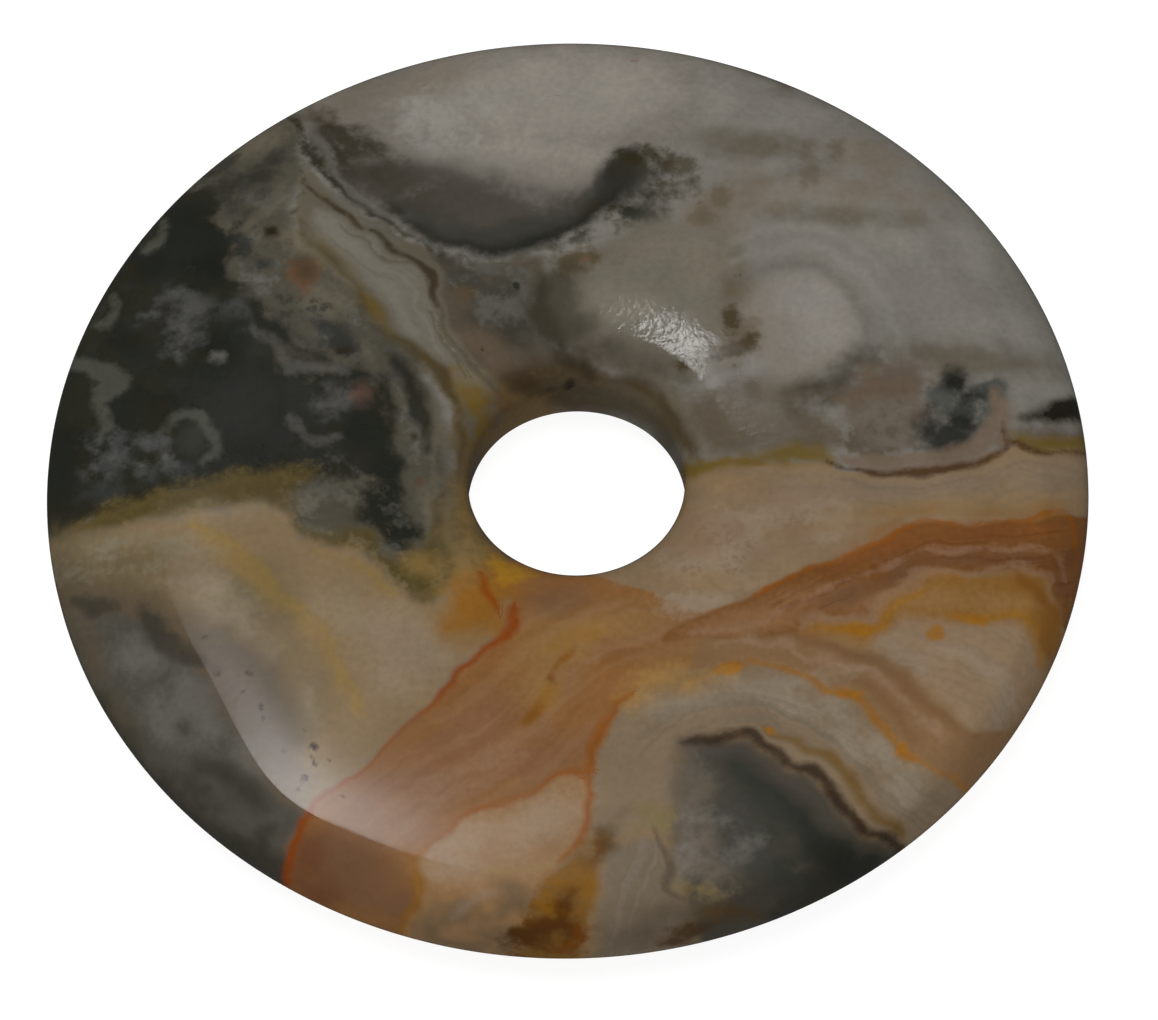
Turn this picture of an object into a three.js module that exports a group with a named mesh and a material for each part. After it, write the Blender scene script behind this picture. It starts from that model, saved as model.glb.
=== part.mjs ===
// A polished stone ring of the kind sold as a gem donut: a flat disc of banded agate,
// 40 mm across, with a round hole near its middle.
//
// Millimetres, +Z up. The ring lies flat. The origin is the middle of the underside, so
// the ring fills z = 0 to THICKNESS. -Y is the side nearest the viewer, +X is right.
//
// A stone ring is ground in three steps, and the shape keeps a trace of each:
// 1. both faces are lapped flat, and the polishing pad lets them fall away by a tenth of
//    a millimetre towards their edges;
// 2. the rim is ground round, which leaves a soft edge line where it meets each face;
// 3. the hole is drilled, and its mouths are eased until they are smooth to the touch, so
//    that each face rolls over gently before it turns down into the hole.
// The top face's edge line isn't quite central: the rim is broad at the back left of the
// ring and narrow at the front right.

import * as THREE from 'three';
import { mergeVertices } from 'three/addons/utils/BufferGeometryUtils.js';

// Driving dimensions
const OUTER_RADIUS = 20;
const THICKNESS = 4.5;
const HOLE = { radius: 4.15, x: 0.35, y: 0 };

// The hole's eased mouths are quarter ellipses, wider across the face than they are deep.
const MOUTH_WIDTH = 1.9;
const MOUTH_DEPTH = 1.25;

// Around each mouth the face rolls down by this much over this width.
const ROLL_WIDTH = 3.4;
const ROLL_DROP = 0.13;

// The edge line where each face meets the rim is a circle of its own.
const TOP_EDGE = { radius: 16.9, x: 1.28, y: -2.1 };
const BOTTOM_EDGE = { radius: 17.7, x: 0, y: 0 };

// Each face is truly flat out to this radius, and from there falls away to its edge line.
const FLAT_RADIUS = 12.5;
const EDGE_DROP = 0.1;

// The rim leaves each face at a slope and ends upright at mid height. Its curve is pulled
// towards a corner on the outer radius, at this height above mid height.
const RIM_CORNER_HEIGHT = 1.4;

// How finely the ring is cut into faces
const STATIONS = 96;
const MOUTH_STEPS = 5;
const ROLL_STEPS = 3;
const FACE_STEPS = 3;
const RIM_STEPS = 6;

const MID_HEIGHT = THICKNESS / 2;

// The distance from the ring's axis to a circle that isn't centred on it, in the
// direction of the unit vector (dirX, dirY).
function reachOfCircle(circle, dirX, dirY) {
  const along = circle.x * dirX + circle.y * dirY;
  const across = circle.x * dirY - circle.y * dirX;
  return along + Math.sqrt(circle.radius ** 2 - across ** 2);
}

// How far the face has rolled down at a reach, where the mouth starts at the reach start.
// Inside the mouth the roll goes on at the slope that it has there.
function rollDrop(start, reach) {
  const inward = (start + ROLL_WIDTH - reach) / ROLL_WIDTH;
  if (inward <= 0) return 0;
  return inward < 1 ? ROLL_DROP * inward ** 2 : ROLL_DROP * (2 * inward - 1);
}

// Points of half a section, from the hole's waist over the face to the rim's equator.
// r is the distance from the ring's axis and h the height above mid height.
function halfSection(holeReach, edgeReach) {
  const points = [];
  const start = holeReach + MOUTH_WIDTH;
  for (let i = 0; i <= MOUTH_STEPS; i++) {
    const turn = (Math.PI / 2) * (i / MOUTH_STEPS);
    const r = start - MOUTH_WIDTH * Math.cos(turn);
    const h = MID_HEIGHT - MOUTH_DEPTH * (1 - Math.sin(turn)) - rollDrop(start, r);
    points.push({ r, h });
  }
  for (let i = 1; i <= ROLL_STEPS; i++) {
    const r = start + ROLL_WIDTH * (i / ROLL_STEPS);
    points.push({ r, h: MID_HEIGHT - rollDrop(start, r) });
  }
  for (let i = 0; i <= FACE_STEPS; i++) {
    const way = i / FACE_STEPS;
    points.push({
      r: FLAT_RADIUS + (edgeReach - FLAT_RADIUS) * way,
      h: MID_HEIGHT - EDGE_DROP * way ** 2,
    });
  }
  const edge = points[points.length - 1];
  const rim = new THREE.QuadraticBezierCurve(
    new THREE.Vector2(edge.r, edge.h),
    new THREE.Vector2(OUTER_RADIUS, RIM_CORNER_HEIGHT),
    new THREE.Vector2(OUTER_RADIUS, 0),
  );
  for (const point of rim.getPoints(RIM_STEPS).slice(1)) {
    points.push({ r: point.x, h: point.y });
  }
  return points;
}

// The closed section of the ring in one direction: up over the top face from the hole to
// the rim, back along the underside, and up the hole's wall to the start.
function section(dirX, dirY) {
  const holeReach = reachOfCircle(HOLE, dirX, dirY);
  const top = halfSection(holeReach, reachOfCircle(TOP_EDGE, dirX, dirY));
  const bottom = halfSection(holeReach, reachOfCircle(BOTTOM_EDGE, dirX, dirY));
  const topPoints = top.map((p) => new THREE.Vector2(p.r, MID_HEIGHT + p.h));
  const bottomPoints = bottom
    .slice(0, -1)
    .reverse()
    .map((p) => new THREE.Vector2(p.r, MID_HEIGHT - p.h));
  const outline = [...topPoints, ...bottomPoints];
  outline.push(outline[0].clone());
  return outline.reverse();
}

// A lathe makes the ring's faces, and each of its stations is then set to the section of
// its own direction, because the hole and the top edge line are a little off centre.
function makeRing() {
  const geometry = new THREE.LatheGeometry(section(1, 0), STATIONS);
  geometry.rotateX(Math.PI / 2);
  const position = geometry.getAttribute('position');
  const pointsPerStation = position.count / (STATIONS + 1);
  for (let station = 0; station <= STATIONS; station++) {
    const turn = (station % STATIONS) * ((2 * Math.PI) / STATIONS);
    const dirX = Math.sin(turn);
    const dirY = -Math.cos(turn);
    section(dirX, dirY).forEach((point, i) => {
      const index = station * pointsPerStation + i;
      position.setXYZ(index, point.x * dirX, point.x * dirY, point.y);
    });
  }
  geometry.deleteAttribute('normal');
  geometry.deleteAttribute('uv');
  const closed = mergeVertices(geometry, 1e-5);
  closed.computeVertexNormals();
  return closed;
}

const ring = new THREE.Mesh(
  makeRing(),
  new THREE.MeshStandardMaterial({ color: 0x675948, roughness: 0.15, metalness: 0 }),
);
ring.name = 'agate_ring';

const donut = new THREE.Group();
donut.add(ring);

export default donut;
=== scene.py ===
# %% [markdown]
# A polished ring of crazy lace agate, the kind sold as a gem donut: 40 mm across, 4.5 mm
# thick, with a round hole near its middle. It is one piece of one mineral, so all of its
# interest is in the shape of the polish and in the pattern of the stone.
# The lesson goes from the camera and the lights to the ring's shape, then through the
# stone region by region, and ends with the material that draws them.

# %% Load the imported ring
import math

import bpy
import numpy as np
from mathutils import Matrix, Quaternion, Vector


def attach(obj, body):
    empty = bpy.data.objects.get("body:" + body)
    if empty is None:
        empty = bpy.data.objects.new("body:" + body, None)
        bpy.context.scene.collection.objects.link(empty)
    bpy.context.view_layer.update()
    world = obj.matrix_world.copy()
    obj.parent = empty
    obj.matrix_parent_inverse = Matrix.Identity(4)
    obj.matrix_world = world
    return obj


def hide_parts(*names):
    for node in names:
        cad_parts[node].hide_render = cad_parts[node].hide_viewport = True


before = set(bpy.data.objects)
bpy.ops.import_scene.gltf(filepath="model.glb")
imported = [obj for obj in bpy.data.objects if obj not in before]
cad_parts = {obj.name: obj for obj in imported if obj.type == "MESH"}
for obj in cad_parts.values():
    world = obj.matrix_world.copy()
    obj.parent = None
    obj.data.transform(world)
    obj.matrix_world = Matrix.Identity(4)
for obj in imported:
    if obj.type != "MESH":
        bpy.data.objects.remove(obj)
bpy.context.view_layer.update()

# %% [markdown]
# Lengths below are in millimetres, as a stone cutter gives them, and are turned to metres
# where Blender needs them. The ring lies on the floor with its underside's middle at the
# origin. The viewer stands on the -Y side.

# %% Named sizes of the ring
MM = 0.001
OUTER_RADIUS = 20.0
THICKNESS = 4.5
MID_HEIGHT = THICKNESS / 2
HOLE_RADIUS = 4.15
HOLE_CENTRE = (0.35, 0.0)
MOUTH_WIDTH = 1.9
MOUTH_DEPTH = 1.25
ROLL_WIDTH = 3.4
ROLL_DROP = 0.13
TOP_EDGE_RADIUS = 16.9
TOP_EDGE_CENTRE = (1.28, -2.1)
BOTTOM_EDGE_RADIUS = 17.7
BOTTOM_EDGE_CENTRE = (0.0, 0.0)
FLAT_RADIUS = 12.5
EDGE_SLOPE = math.tan(math.radians(2.6))
EDGE_CURVE = 2.5
RIM_CORNER_HEIGHT = 1.4

# %% [markdown]
# The photograph was taken with a long lens from well above the table, so the round ring
# looks only a little flattened. The height of the view comes from that flattening, and the
# distance from how much larger the near half looks than the far half.

# %% The camera
PHOTO_WIDTH = 1158
PHOTO_HEIGHT = 1020
SENSOR_WIDTH = 36.0
VIEW_ELEVATION = math.radians(60.64)
VIEW_DISTANCE = 650.0
VIEW_ROLL = math.radians(-1.21)
AIM = Vector((0.425, -0.749, MID_HEIGHT))
FOCAL_PIXELS = 16937.0

to_camera = Vector((0.0, -math.cos(VIEW_ELEVATION), math.sin(VIEW_ELEVATION)))
camera_place = AIM + to_camera * VIEW_DISTANCE
looking_down = Matrix.Rotation(math.pi / 2 - VIEW_ELEVATION, 3, "X")
camera_turn = looking_down @ Matrix.Rotation(VIEW_ROLL, 3, "Z")

lens = bpy.data.cameras.new("view")
lens.lens = FOCAL_PIXELS / PHOTO_WIDTH * SENSOR_WIDTH
lens.sensor_width = SENSOR_WIDTH
lens.clip_start = 0.01
lens.clip_end = 20.0
camera = bpy.data.objects.new("view", lens)
camera.matrix_world = Matrix.Translation(camera_place * MM) @ camera_turn.to_4x4()
bpy.context.collection.objects.link(camera)
bpy.context.scene.camera = camera
print("camera at", [round(side, 3) for side in camera.location], "lens", round(lens.lens, 1))

# %% [markdown]
# One function turns the sRGB hex value of every colour in the scene to the linear numbers
# that a shader works in.

# %% Colours
def linear(hex_colour):
    """The linear red, green, blue and alpha of an sRGB colour such as '#806a50'."""
    parts = [int(hex_colour[i:i + 2], 16) / 255 for i in (1, 3, 5)]
    return [c / 12.92 if c <= 0.04045 else ((c + 0.055) / 1.055) ** 2.4 for c in parts] + [1.0]

# %% [markdown]
# The stage is a plain white light table, which drowns the ring's own shadow. The stone is
# dark and glossy, so most of the light must come from where the polish doesn't mirror it to
# the camera. A flat face mirrors the part of the room that is as high behind the ring as the
# camera is in front of it. That part stays dim, apart from one small bright lamp just beside
# it, which only the places that lean a little towards the lower left can catch.

# %% The table
FLOOR_SIZE = 5000.0

bpy.ops.object.select_all(action="DESELECT")
bpy.ops.mesh.primitive_plane_add(size=FLOOR_SIZE * MM)
table = bpy.context.object
table.name = "table"
table_paint = bpy.data.materials.new("lit opal acrylic")
table_paint.use_nodes = True
acrylic = table_paint.node_tree.nodes["Principled BSDF"]
acrylic.inputs["Base Color"].default_value = linear("#747474")
acrylic.inputs["Roughness"].default_value = 0.9
acrylic.inputs["Specular IOR Level"].default_value = 0.1
acrylic.inputs["Emission Color"].default_value = linear("#ffffff")
acrylic.inputs["Emission Strength"].default_value = 0.93
table.data.materials.append(table_paint)
table.visible_glossy = False

# %% The lights
def softbox(name, direction, distance, size, power, mirrored=False, turn=0.0):
    """A light that faces the ring. Its width and height are in metres and its power in watts."""
    light = bpy.data.lights.new(name, "AREA")
    light.shape = "RECTANGLE"
    light.size, light.size_y = size
    light.energy = power
    lamp = bpy.data.objects.new(name, light)
    towards = Vector(direction).normalized()
    lamp.location = towards * distance
    turned = towards.to_track_quat("Z", "Y") @ Quaternion((0.0, 0.0, 1.0), turn)
    lamp.rotation_euler = turned.to_euler()
    lamp.visible_glossy = mirrored
    bpy.context.collection.objects.link(lamp)
    return lamp

mirror_way = Vector((0.0, math.cos(VIEW_ELEVATION), math.sin(VIEW_ELEVATION)))
mirror_up = Vector((0.0, -math.sin(VIEW_ELEVATION), math.cos(VIEW_ELEVATION)))
LAMP_LEFT = math.radians(3.85)
LAMP_ABOVE = math.radians(4.65)
LAMP_TURN = math.radians(-42)
lamp_way = mirror_way - Vector((math.tan(LAMP_LEFT), 0, 0)) + mirror_up * math.tan(LAMP_ABOVE)

softbox("overhead", (-0.12, 0.1, 0.98), 1.0, (0.7, 0.7), 8.3)
softbox("window", (-0.75, 0.15, 0.6), 1.3, (0.8, 0.8), 2.8)
softbox("fill", (0.55, -0.06, 0.83), 1.4, (0.35, 0.35), 1.7)
softbox("front", (0.05, -0.93, 0.35), 1.2, (0.5, 0.5), 2.0)
softbox("small lamp", lamp_way, 3.0, (0.115, 0.2), 0.72, mirrored=True, turn=LAMP_TURN)

world = bpy.data.worlds.new("dim room")
world.use_nodes = True
room = world.node_tree.nodes["Background"]
room.inputs["Color"].default_value = linear("#eef2f8")
room.inputs["Strength"].default_value = 0.03
bpy.context.scene.world = world
bpy.context.scene.view_settings.view_transform = "Standard"

# %% [markdown]
# A stone ring is ground and drilled from a slab. Here its section is drawn once, spun round
# the axis, and then each station is set to its own reach, because neither the hole nor the
# top face's edge line is quite central. The spun mesh is fine, because it also carries the
# map of the pattern, and a vein is only a few tenths of a millimetre wide.
# Each face rolls over gently before it turns down into the hole, and falls a little towards
# its edge line. Both falls mirror the lamp where they lean towards the lower left.
# The wheel left the top edge line crisp at the left, with three small strays, and the buff
# has rounded it off over the front, where hardly a crease is left to see.

# %% The section of the ring
STATIONS = 700
MOUTH_STEPS = 10
FACE_STEPS = 72
RIM_STEPS = 20
LOWER_RIM_STEPS = 10
LOWER_FACE_STEPS = 20
LOWER_MOUTH_STEPS = 8
# Each stray, and the soft stretch, is given as its heading and spread in degrees and its
# size in millimetres.
EDGE_STRAYS = [(213, 9, -0.3), (232, 8, 0.38), (250, 9, -0.1)]
SOFT_EDGE = (288, 38, 0.95)
CRISP_ENOUGH = 0.05

def reach_of_circle(centre, radius, way):
    """The distance from the axis to an off-centre circle along the unit vector way."""
    along = centre[0] * way[0] + centre[1] * way[1]
    across = centre[0] * way[1] - centre[1] * way[0]
    return along + math.sqrt(radius ** 2 - across ** 2)

def hand_ground(way):
    """How far the top edge line strays from its circle, where the wheel was held longer."""
    heading = math.degrees(math.atan2(way[1], way[0])) % 360
    return sum(size * math.exp(-((heading - at) / spread) ** 2) for at, spread, size in EDGE_STRAYS)

def edge_softness(way):
    """How far each side of the top edge line is rounded over, which is most at the front."""
    at, spread, most = SOFT_EDGE
    heading = math.degrees(math.atan2(way[1], way[0])) % 360
    return most * math.exp(-((heading - at) / spread) ** 4)

def roll_drop(start, reach):
    """How far the face has rolled down at a reach, where the mouth starts at the reach start."""
    inward = (start + ROLL_WIDTH - reach) / ROLL_WIDTH
    if inward <= 0:
        return 0.0
    return ROLL_DROP * inward ** 2 if inward < 1 else ROLL_DROP * (2 * inward - 1)

def half_section(hole, edge, steps, softness=0.0):
    """Reach and height above mid height, from the hole's waist over a face to the rim."""
    mouth_steps, face_steps, rim_steps = steps
    start = hole + MOUTH_WIDTH
    edge_drop = EDGE_SLOPE * (edge - FLAT_RADIUS) / EDGE_CURVE
    points = []
    for i in range(mouth_steps):
        turn = math.pi / 2 * i / mouth_steps
        reach = start - MOUTH_WIDTH * math.cos(turn)
        height = MID_HEIGHT - MOUTH_DEPTH * (1 - math.sin(turn))
        points.append((reach, height - roll_drop(start, reach)))
    for i in range(face_steps):
        reach = start + (edge - start) * i / face_steps
        outward = max(0.0, (reach - FLAT_RADIUS) / (edge - FLAT_RADIUS))
        drop = roll_drop(start, reach) + edge_drop * outward ** EDGE_CURVE
        points.append((reach, MID_HEIGHT - drop))
    for i in range(rim_steps + 1):
        t = i / rim_steps
        reach = edge * (1 - t) ** 2 + OUTER_RADIUS * (1 - (1 - t) ** 2)
        height = (MID_HEIGHT - edge_drop) * (1 - t) ** 2 + RIM_CORNER_HEIGHT * 2 * t * (1 - t)
        points.append((reach, height))
    if softness < CRISP_ENOUGH:
        return points
    face_slope = -EDGE_CURVE * edge_drop / (edge - FLAT_RADIUS)
    rim_slope = (RIM_CORNER_HEIGHT - MID_HEIGHT + edge_drop) / (OUTER_RADIUS - edge)
    rounding = (face_slope - rim_slope) / (4 * softness)
    softened = []
    for reach, height in points:
        within = max(0.0, softness - abs(reach - edge))
        softened.append((reach, height - rounding * within ** 2))
    return softened

def ring_section(way):
    """The closed section of the ring in one direction, in millimetres."""
    hole = reach_of_circle(HOLE_CENTRE, HOLE_RADIUS, way)
    top_edge = reach_of_circle(TOP_EDGE_CENTRE, TOP_EDGE_RADIUS, way) + hand_ground(way)
    bottom_edge = reach_of_circle(BOTTOM_EDGE_CENTRE, BOTTOM_EDGE_RADIUS, way)
    top = half_section(hole, top_edge, (MOUTH_STEPS, FACE_STEPS, RIM_STEPS), edge_softness(way))
    bottom = half_section(hole, bottom_edge, (LOWER_MOUTH_STEPS, LOWER_FACE_STEPS, LOWER_RIM_STEPS))
    upper = [(reach, MID_HEIGHT + height) for reach, height in top]
    lower = [(reach, MID_HEIGHT - height) for reach, height in bottom[1:-1]]
    return upper + lower[::-1]

SECTION_POINTS = len(ring_section((1.0, 0.0)))
print("points in the section:", SECTION_POINTS)

# %% Spin the section into the ring
bpy.ops.object.select_all(action="DESELECT")
bpy.ops.mesh.primitive_circle_add(vertices=SECTION_POINTS, radius=THICKNESS / 2 * MM)
ring = bpy.context.object
ring.name = "lace_agate_ring"
for vertex, (reach, height) in zip(ring.data.vertices, ring_section((1.0, 0.0))):
    vertex.co = (reach * MM, 0.0, height * MM)
bpy.ops.object.mode_set(mode="EDIT")
bpy.ops.mesh.select_all(action="SELECT")
bpy.ops.mesh.spin(steps=STATIONS, angle=2 * math.pi, center=(0, 0, 0), axis=(0, 0, 1))
bpy.ops.mesh.select_all(action="SELECT")
bpy.ops.mesh.remove_doubles(threshold=1e-6)
bpy.ops.mesh.normals_make_consistent(inside=False)
bpy.ops.object.mode_set(mode="OBJECT")
bpy.ops.object.shade_smooth()
print("spun ring:", len(ring.data.vertices), "points,", len(ring.data.polygons), "faces")

# %% Set each station to its own reach
def places_of(mesh):
    """The mesh's points as an array of millimetres."""
    flat = np.empty(len(mesh.vertices) * 3)
    mesh.vertices.foreach_get("co", flat)
    return flat.reshape(-1, 3) / MM

template = np.array(ring_section((1.0, 0.0)))
spun = places_of(ring.data)
turns = np.arctan2(spun[:, 1], spun[:, 0])
station_of = np.round(turns / (2 * math.pi) * STATIONS).astype(int) % STATIONS
spun_section = np.stack([np.hypot(spun[:, 0], spun[:, 1]), spun[:, 2]], axis=1)
gaps = np.abs(spun_section[:, None, 0] - template[None, :, 0])
gaps += np.abs(spun_section[:, None, 1] - template[None, :, 1])
point_of = gaps.argmin(axis=1)
placed = np.empty_like(spun)
for station in range(STATIONS):
    turn = 2 * math.pi * station / STATIONS
    way = (math.cos(turn), math.sin(turn))
    outline = np.array(ring_section(way))
    here = station_of == station
    reach, height = outline[point_of[here]].T
    placed[here] = np.stack([reach * way[0], reach * way[1], height], axis=1)
ring.data.vertices.foreach_set("co", (placed * MM).ravel())
ring.data.update()
print("ring as set, mm:", placed.min(axis=0).round(3), placed.max(axis=0).round(3))

# %% [markdown]
# Agate grows in layers, and the saw cuts across them. The layers here lean, so what shows on
# the top face shows again, shifted, on the rim, on the hole's wall and on the underside. The
# lean is the slope of the view, which makes the pattern carry on over the edge line without
# a break, as it does in the stone.
# Places on the top face are read off the photograph in its pixels, and turned to millimetres
# by following the camera's line of sight down to the face.

# %% From the photograph to the stone
LEAN = 1 / math.tan(VIEW_ELEVATION)
PIXELS_PER_MM = FOCAL_PIXELS / VIEW_DISTANCE

def on_face(pixels):
    """Millimetres on the top face for places in the photograph."""
    pixels = np.array(pixels, dtype=float)
    across = pixels[:, 0] - PHOTO_WIDTH / 2
    upward = PHOTO_HEIGHT / 2 - pixels[:, 1]
    depth = np.full(len(pixels), -FOCAL_PIXELS)
    sights = np.stack([across, upward, depth], axis=1) @ np.array(camera_turn).T
    reach = (THICKNESS - camera_place.z) / sights[:, 2]
    return np.array(camera_place.xy) + sights[:, :2] * reach[:, None]

stone = np.stack([placed[:, 0], placed[:, 1] - LEAN * (THICKNESS - placed[:, 2])], axis=1)
print("pattern covers, mm:", stone.min(axis=0).round(2), stone.max(axis=0).round(2))

# %% [markdown]
# No layer grows quite even. A sum of waves with periods from 0.7 to 2.4 mm gives every place
# a small push, and a shape that is drawn on the pushed places comes out gently scalloped.

# %% The unevenness of growth
WAVES = 14
SHORTEST = 0.7
LONGEST = 2.4

chance = np.random.default_rng(5)
push = np.zeros_like(stone)
for _ in range(WAVES):
    heading = chance.uniform(0, 2 * math.pi)
    direction = np.array([math.cos(heading), math.sin(heading)])
    crests = stone @ direction / chance.uniform(SHORTEST, LONGEST)
    height = np.sin(2 * math.pi * crests + chance.uniform(0, 2 * math.pi))
    push += height[:, None] * chance.normal(size=2)
push /= push.std()

# %% [markdown]
# The map of the pattern is made of a few kinds of shape, each drawn through a handful of
# places: a patch has a closed outline, a cloud is a soft oval, a strand and a seam are lines
# with a width, and ripples are fine lines beside a guide. Each becomes a number at every
# point of the mesh, which says how far inside the shape that point is, in millimetres. The
# material then frays that number with noise before it cuts it off, so every edge is as
# ragged or as crisp as the stone's: soft is half the width of the edge's fade in
# millimetres, wavy and grainy are how far the coarse and the fine noise move the edge, and
# amount is how much of the colour under it a layer hides. Two more settings are rare: uneven
# is how far the growth's unevenness pushes a shape, and a broken layer shows only where one
# of the noises is high.

# %% Helpers that draw shapes on the stone
CURVE_STEPS = 5
FAR_AWAY = 3.0
SEAM_REACH = 1.2
GUIDE_REACH = 100.0
UNEVENNESS = 0.045

def smoothed(points, closed):
    """A rounded line through the points, and how far along the list each of its places is."""
    points = np.array(points, dtype=float)
    count = len(points)
    spans = count if closed else count - 1
    line, along = [], []
    for i in range(spans):
        if closed:
            a, b, c, d = (points[(i + k) % count] for k in (-1, 0, 1, 2))
        else:
            a, b, c, d = (points[min(max(i + k, 0), count - 1)] for k in (-1, 0, 1, 2))
        for t in np.arange(CURVE_STEPS) / CURVE_STEPS:
            line.append(0.5 * (2 * b + (c - a) * t + (2 * a - 5 * b + 4 * c - d) * t ** 2
                               + (3 * b - a - 3 * c + d) * t ** 3))
            along.append(i + t)
    line.append(points[0] if closed else points[-1])
    along.append(spans)
    return np.array(line), np.array(along)

def nearest(line, along, reach, places):
    """Distance to a line, side of it, and way along it, for the places within reach."""
    low = line.min(axis=0) - reach
    high = line.max(axis=0) + reach
    near = np.all((places > low) & (places < high), axis=1)
    points = places[near]
    best = np.full(len(points), 1e9)
    side = np.zeros(len(points))
    spot = np.zeros(len(points))
    for i in range(len(line) - 1):
        start = line[i]
        step = line[i + 1] - start
        length = max(float(step @ step), 1e-12)
        off = points - start
        t = np.clip(off @ step / length, 0, 1)
        gap = off - t[:, None] * step
        square = (gap ** 2).sum(axis=1)
        closer = square < best
        best[closer] = square[closer]
        side[closer] = np.sign(step[0] * off[closer, 1] - step[1] * off[closer, 0])
        spot[closer] = along[i] + t[closer] * (along[i + 1] - along[i])
    return near, np.sqrt(best), side, spot

def inside_of(line, points):
    """Whether each point is inside a closed line."""
    result = np.zeros(len(points), dtype=bool)
    for (x0, y0), (x1, y1) in zip(line[:-1], line[1:]):
        if y0 != y1:
            crosses = (y0 > points[:, 1]) != (y1 > points[:, 1])
            result ^= crosses & (points[:, 0] < (x1 - x0) * (points[:, 1] - y0) / (y1 - y0) + x0)
    return result

def write_map(name, values):
    """Keeps one number per point of the ring under a name that the material reads."""
    kept = ring.data.attributes.new(name, "FLOAT", "POINT")
    kept.data.foreach_set("value", values.astype(np.float32))

LAYERS = []

def add_layer(kind, name, colour, look, defaults):
    """Keeps what the material needs to know of one layer, in the order of painting."""
    settings = dict(soft=0.15, wavy=0.12, grainy=0.03, amount=1.0, broken=None)
    settings.update(defaults)
    settings.update(look)
    LAYERS.append(dict(kind=kind, name=name, colour=colour, **settings))

def grown(look):
    """The stone's places after a push of the layer's own unevenness, in millimetres."""
    return stone + look.pop("uneven", UNEVENNESS) * push

def patch_values(outlines, places):
    """How far inside the nearest of some closed outlines each point is."""
    values = np.full(len(stone), -FAR_AWAY)
    for outline in outlines:
        line, along = smoothed(on_face(outline), closed=True)
        near, distance, side, spot = nearest(line, along, FAR_AWAY, places)
        signed = np.where(inside_of(line, places[near]), distance, -distance)
        values[near] = np.maximum(values[near], signed.clip(-FAR_AWAY, FAR_AWAY))
    return values

def patch(name, colour, *outlines, **look):
    """An area of one colour inside closed outlines."""
    write_map(name, patch_values(outlines, grown(look)))
    add_layer("area", name, colour, look, {})

def oval_values(ovals, places):
    """How far inside the nearest of some ovals each point is. An oval is given as x, y,
    half width, half height and tilt."""
    values = np.full(len(stone), -FAR_AWAY)
    for x, y, half_width, half_height, tilt in ovals:
        centre, right, up = on_face([(x, y), (x + 1, y), (x, y - 1)])
        off = places - centre
        across = off @ (right - centre) / ((right - centre) @ (right - centre))
        upward = off @ (up - centre) / ((up - centre) @ (up - centre))
        turn = math.radians(tilt)
        u = (across * math.cos(turn) + upward * math.sin(turn)) / half_width
        v = (upward * math.cos(turn) - across * math.sin(turn)) / half_height
        smaller = min(half_width, half_height) / PIXELS_PER_MM
        values = np.maximum(values, ((1 - np.hypot(u, v)) * smaller).clip(-FAR_AWAY, FAR_AWAY))
    return values

def cloud(name, colour, *ovals, **look):
    """Soft ovals of one colour."""
    write_map(name, oval_values(ovals, grown(look)))
    add_layer("area", name, colour, look, {"soft": 0.5, "wavy": 0.35, "grainy": 0.08})

# A seam ends where a point is more than the guard away from its edge.
GUARD = 0.2
GUARD_SLOPE = 4
# A line that is given one width tapers to this share of it at both ends.
TAPERED_TO = 0.35

def line_widths(width, spot, last):
    """Half the line's width in millimetres at each place, tapered where only one is given."""
    halves = np.atleast_1d(np.array(width, dtype=float)) / PIXELS_PER_MM / 2
    if len(halves) == 1:
        from_end = np.minimum(spot, last - spot).clip(0, 1)
        return halves[0] * (TAPERED_TO + (1 - TAPERED_TO) * from_end)
    return np.interp(spot, np.linspace(0, last, len(halves)), halves)

def strand(name, colour, *lines, **look):
    """Thick lines of one colour, each given as its width in pixels and its places."""
    values = np.full(len(stone), -FAR_AWAY)
    places = grown(look)
    for width, drawn in lines:
        line, along = smoothed(on_face(drawn), closed=False)
        near, distance, side, spot = nearest(line, along, FAR_AWAY, places)
        values[near] = np.maximum(values[near], line_widths(width, spot, len(drawn) - 1) - distance)
    write_map(name, values)
    add_layer("area", name, colour, look, {})

def seam(name, colour, *lines, **look):
    """Thin lines of one colour. They keep which side of the line a point is on, so that
    a line narrower than the mesh's spacing still comes out whole."""
    across = np.full(len(stone), FAR_AWAY)
    half_width = np.full(len(stone), -FAR_AWAY)
    places = grown(look)
    for width, drawn in lines:
        line, along = smoothed(on_face(drawn), closed=False)
        near, distance, side, spot = nearest(line, along, SEAM_REACH, places)
        local = line_widths(width, spot, len(drawn) - 1)
        local = local - GUARD_SLOPE * (distance - local - GUARD).clip(0, None)
        closer = (local - distance) > (half_width[near] - np.abs(across[near]))
        index = np.flatnonzero(near)[closer]
        across[index] = (distance * side)[closer]
        half_width[index] = local[closer]
    write_map(name, across)
    write_map(name + " width", half_width)
    add_layer("seam", name, colour, look, {"soft": 0.06, "wavy": 0.05, "grainy": 0.02})

def ripples(name, colour, outline, guide, spacing, **look):
    """Fine lines of one colour, parallel to a guide line, inside an outline."""
    places = grown(look)
    write_map(name, patch_values([outline], places))
    line, along = smoothed(on_face(guide), closed=False)
    near, distance, side, spot = nearest(line, along, GUIDE_REACH, places)
    write_map(name + " guide", distance * side)
    add_layer("ripples", name, colour, look, {"spacing": spacing, "lines": (0.48, 0.62)})

print("one pixel of the photograph is", round(1 / PIXELS_PER_MM, 4), "mm on the stone")

# %% [markdown]
# The upper half of the stone is grey chalcedony, so fine-grained that it shows no crystals.
# Milky, beige and smoky clouds drift through it.

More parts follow.
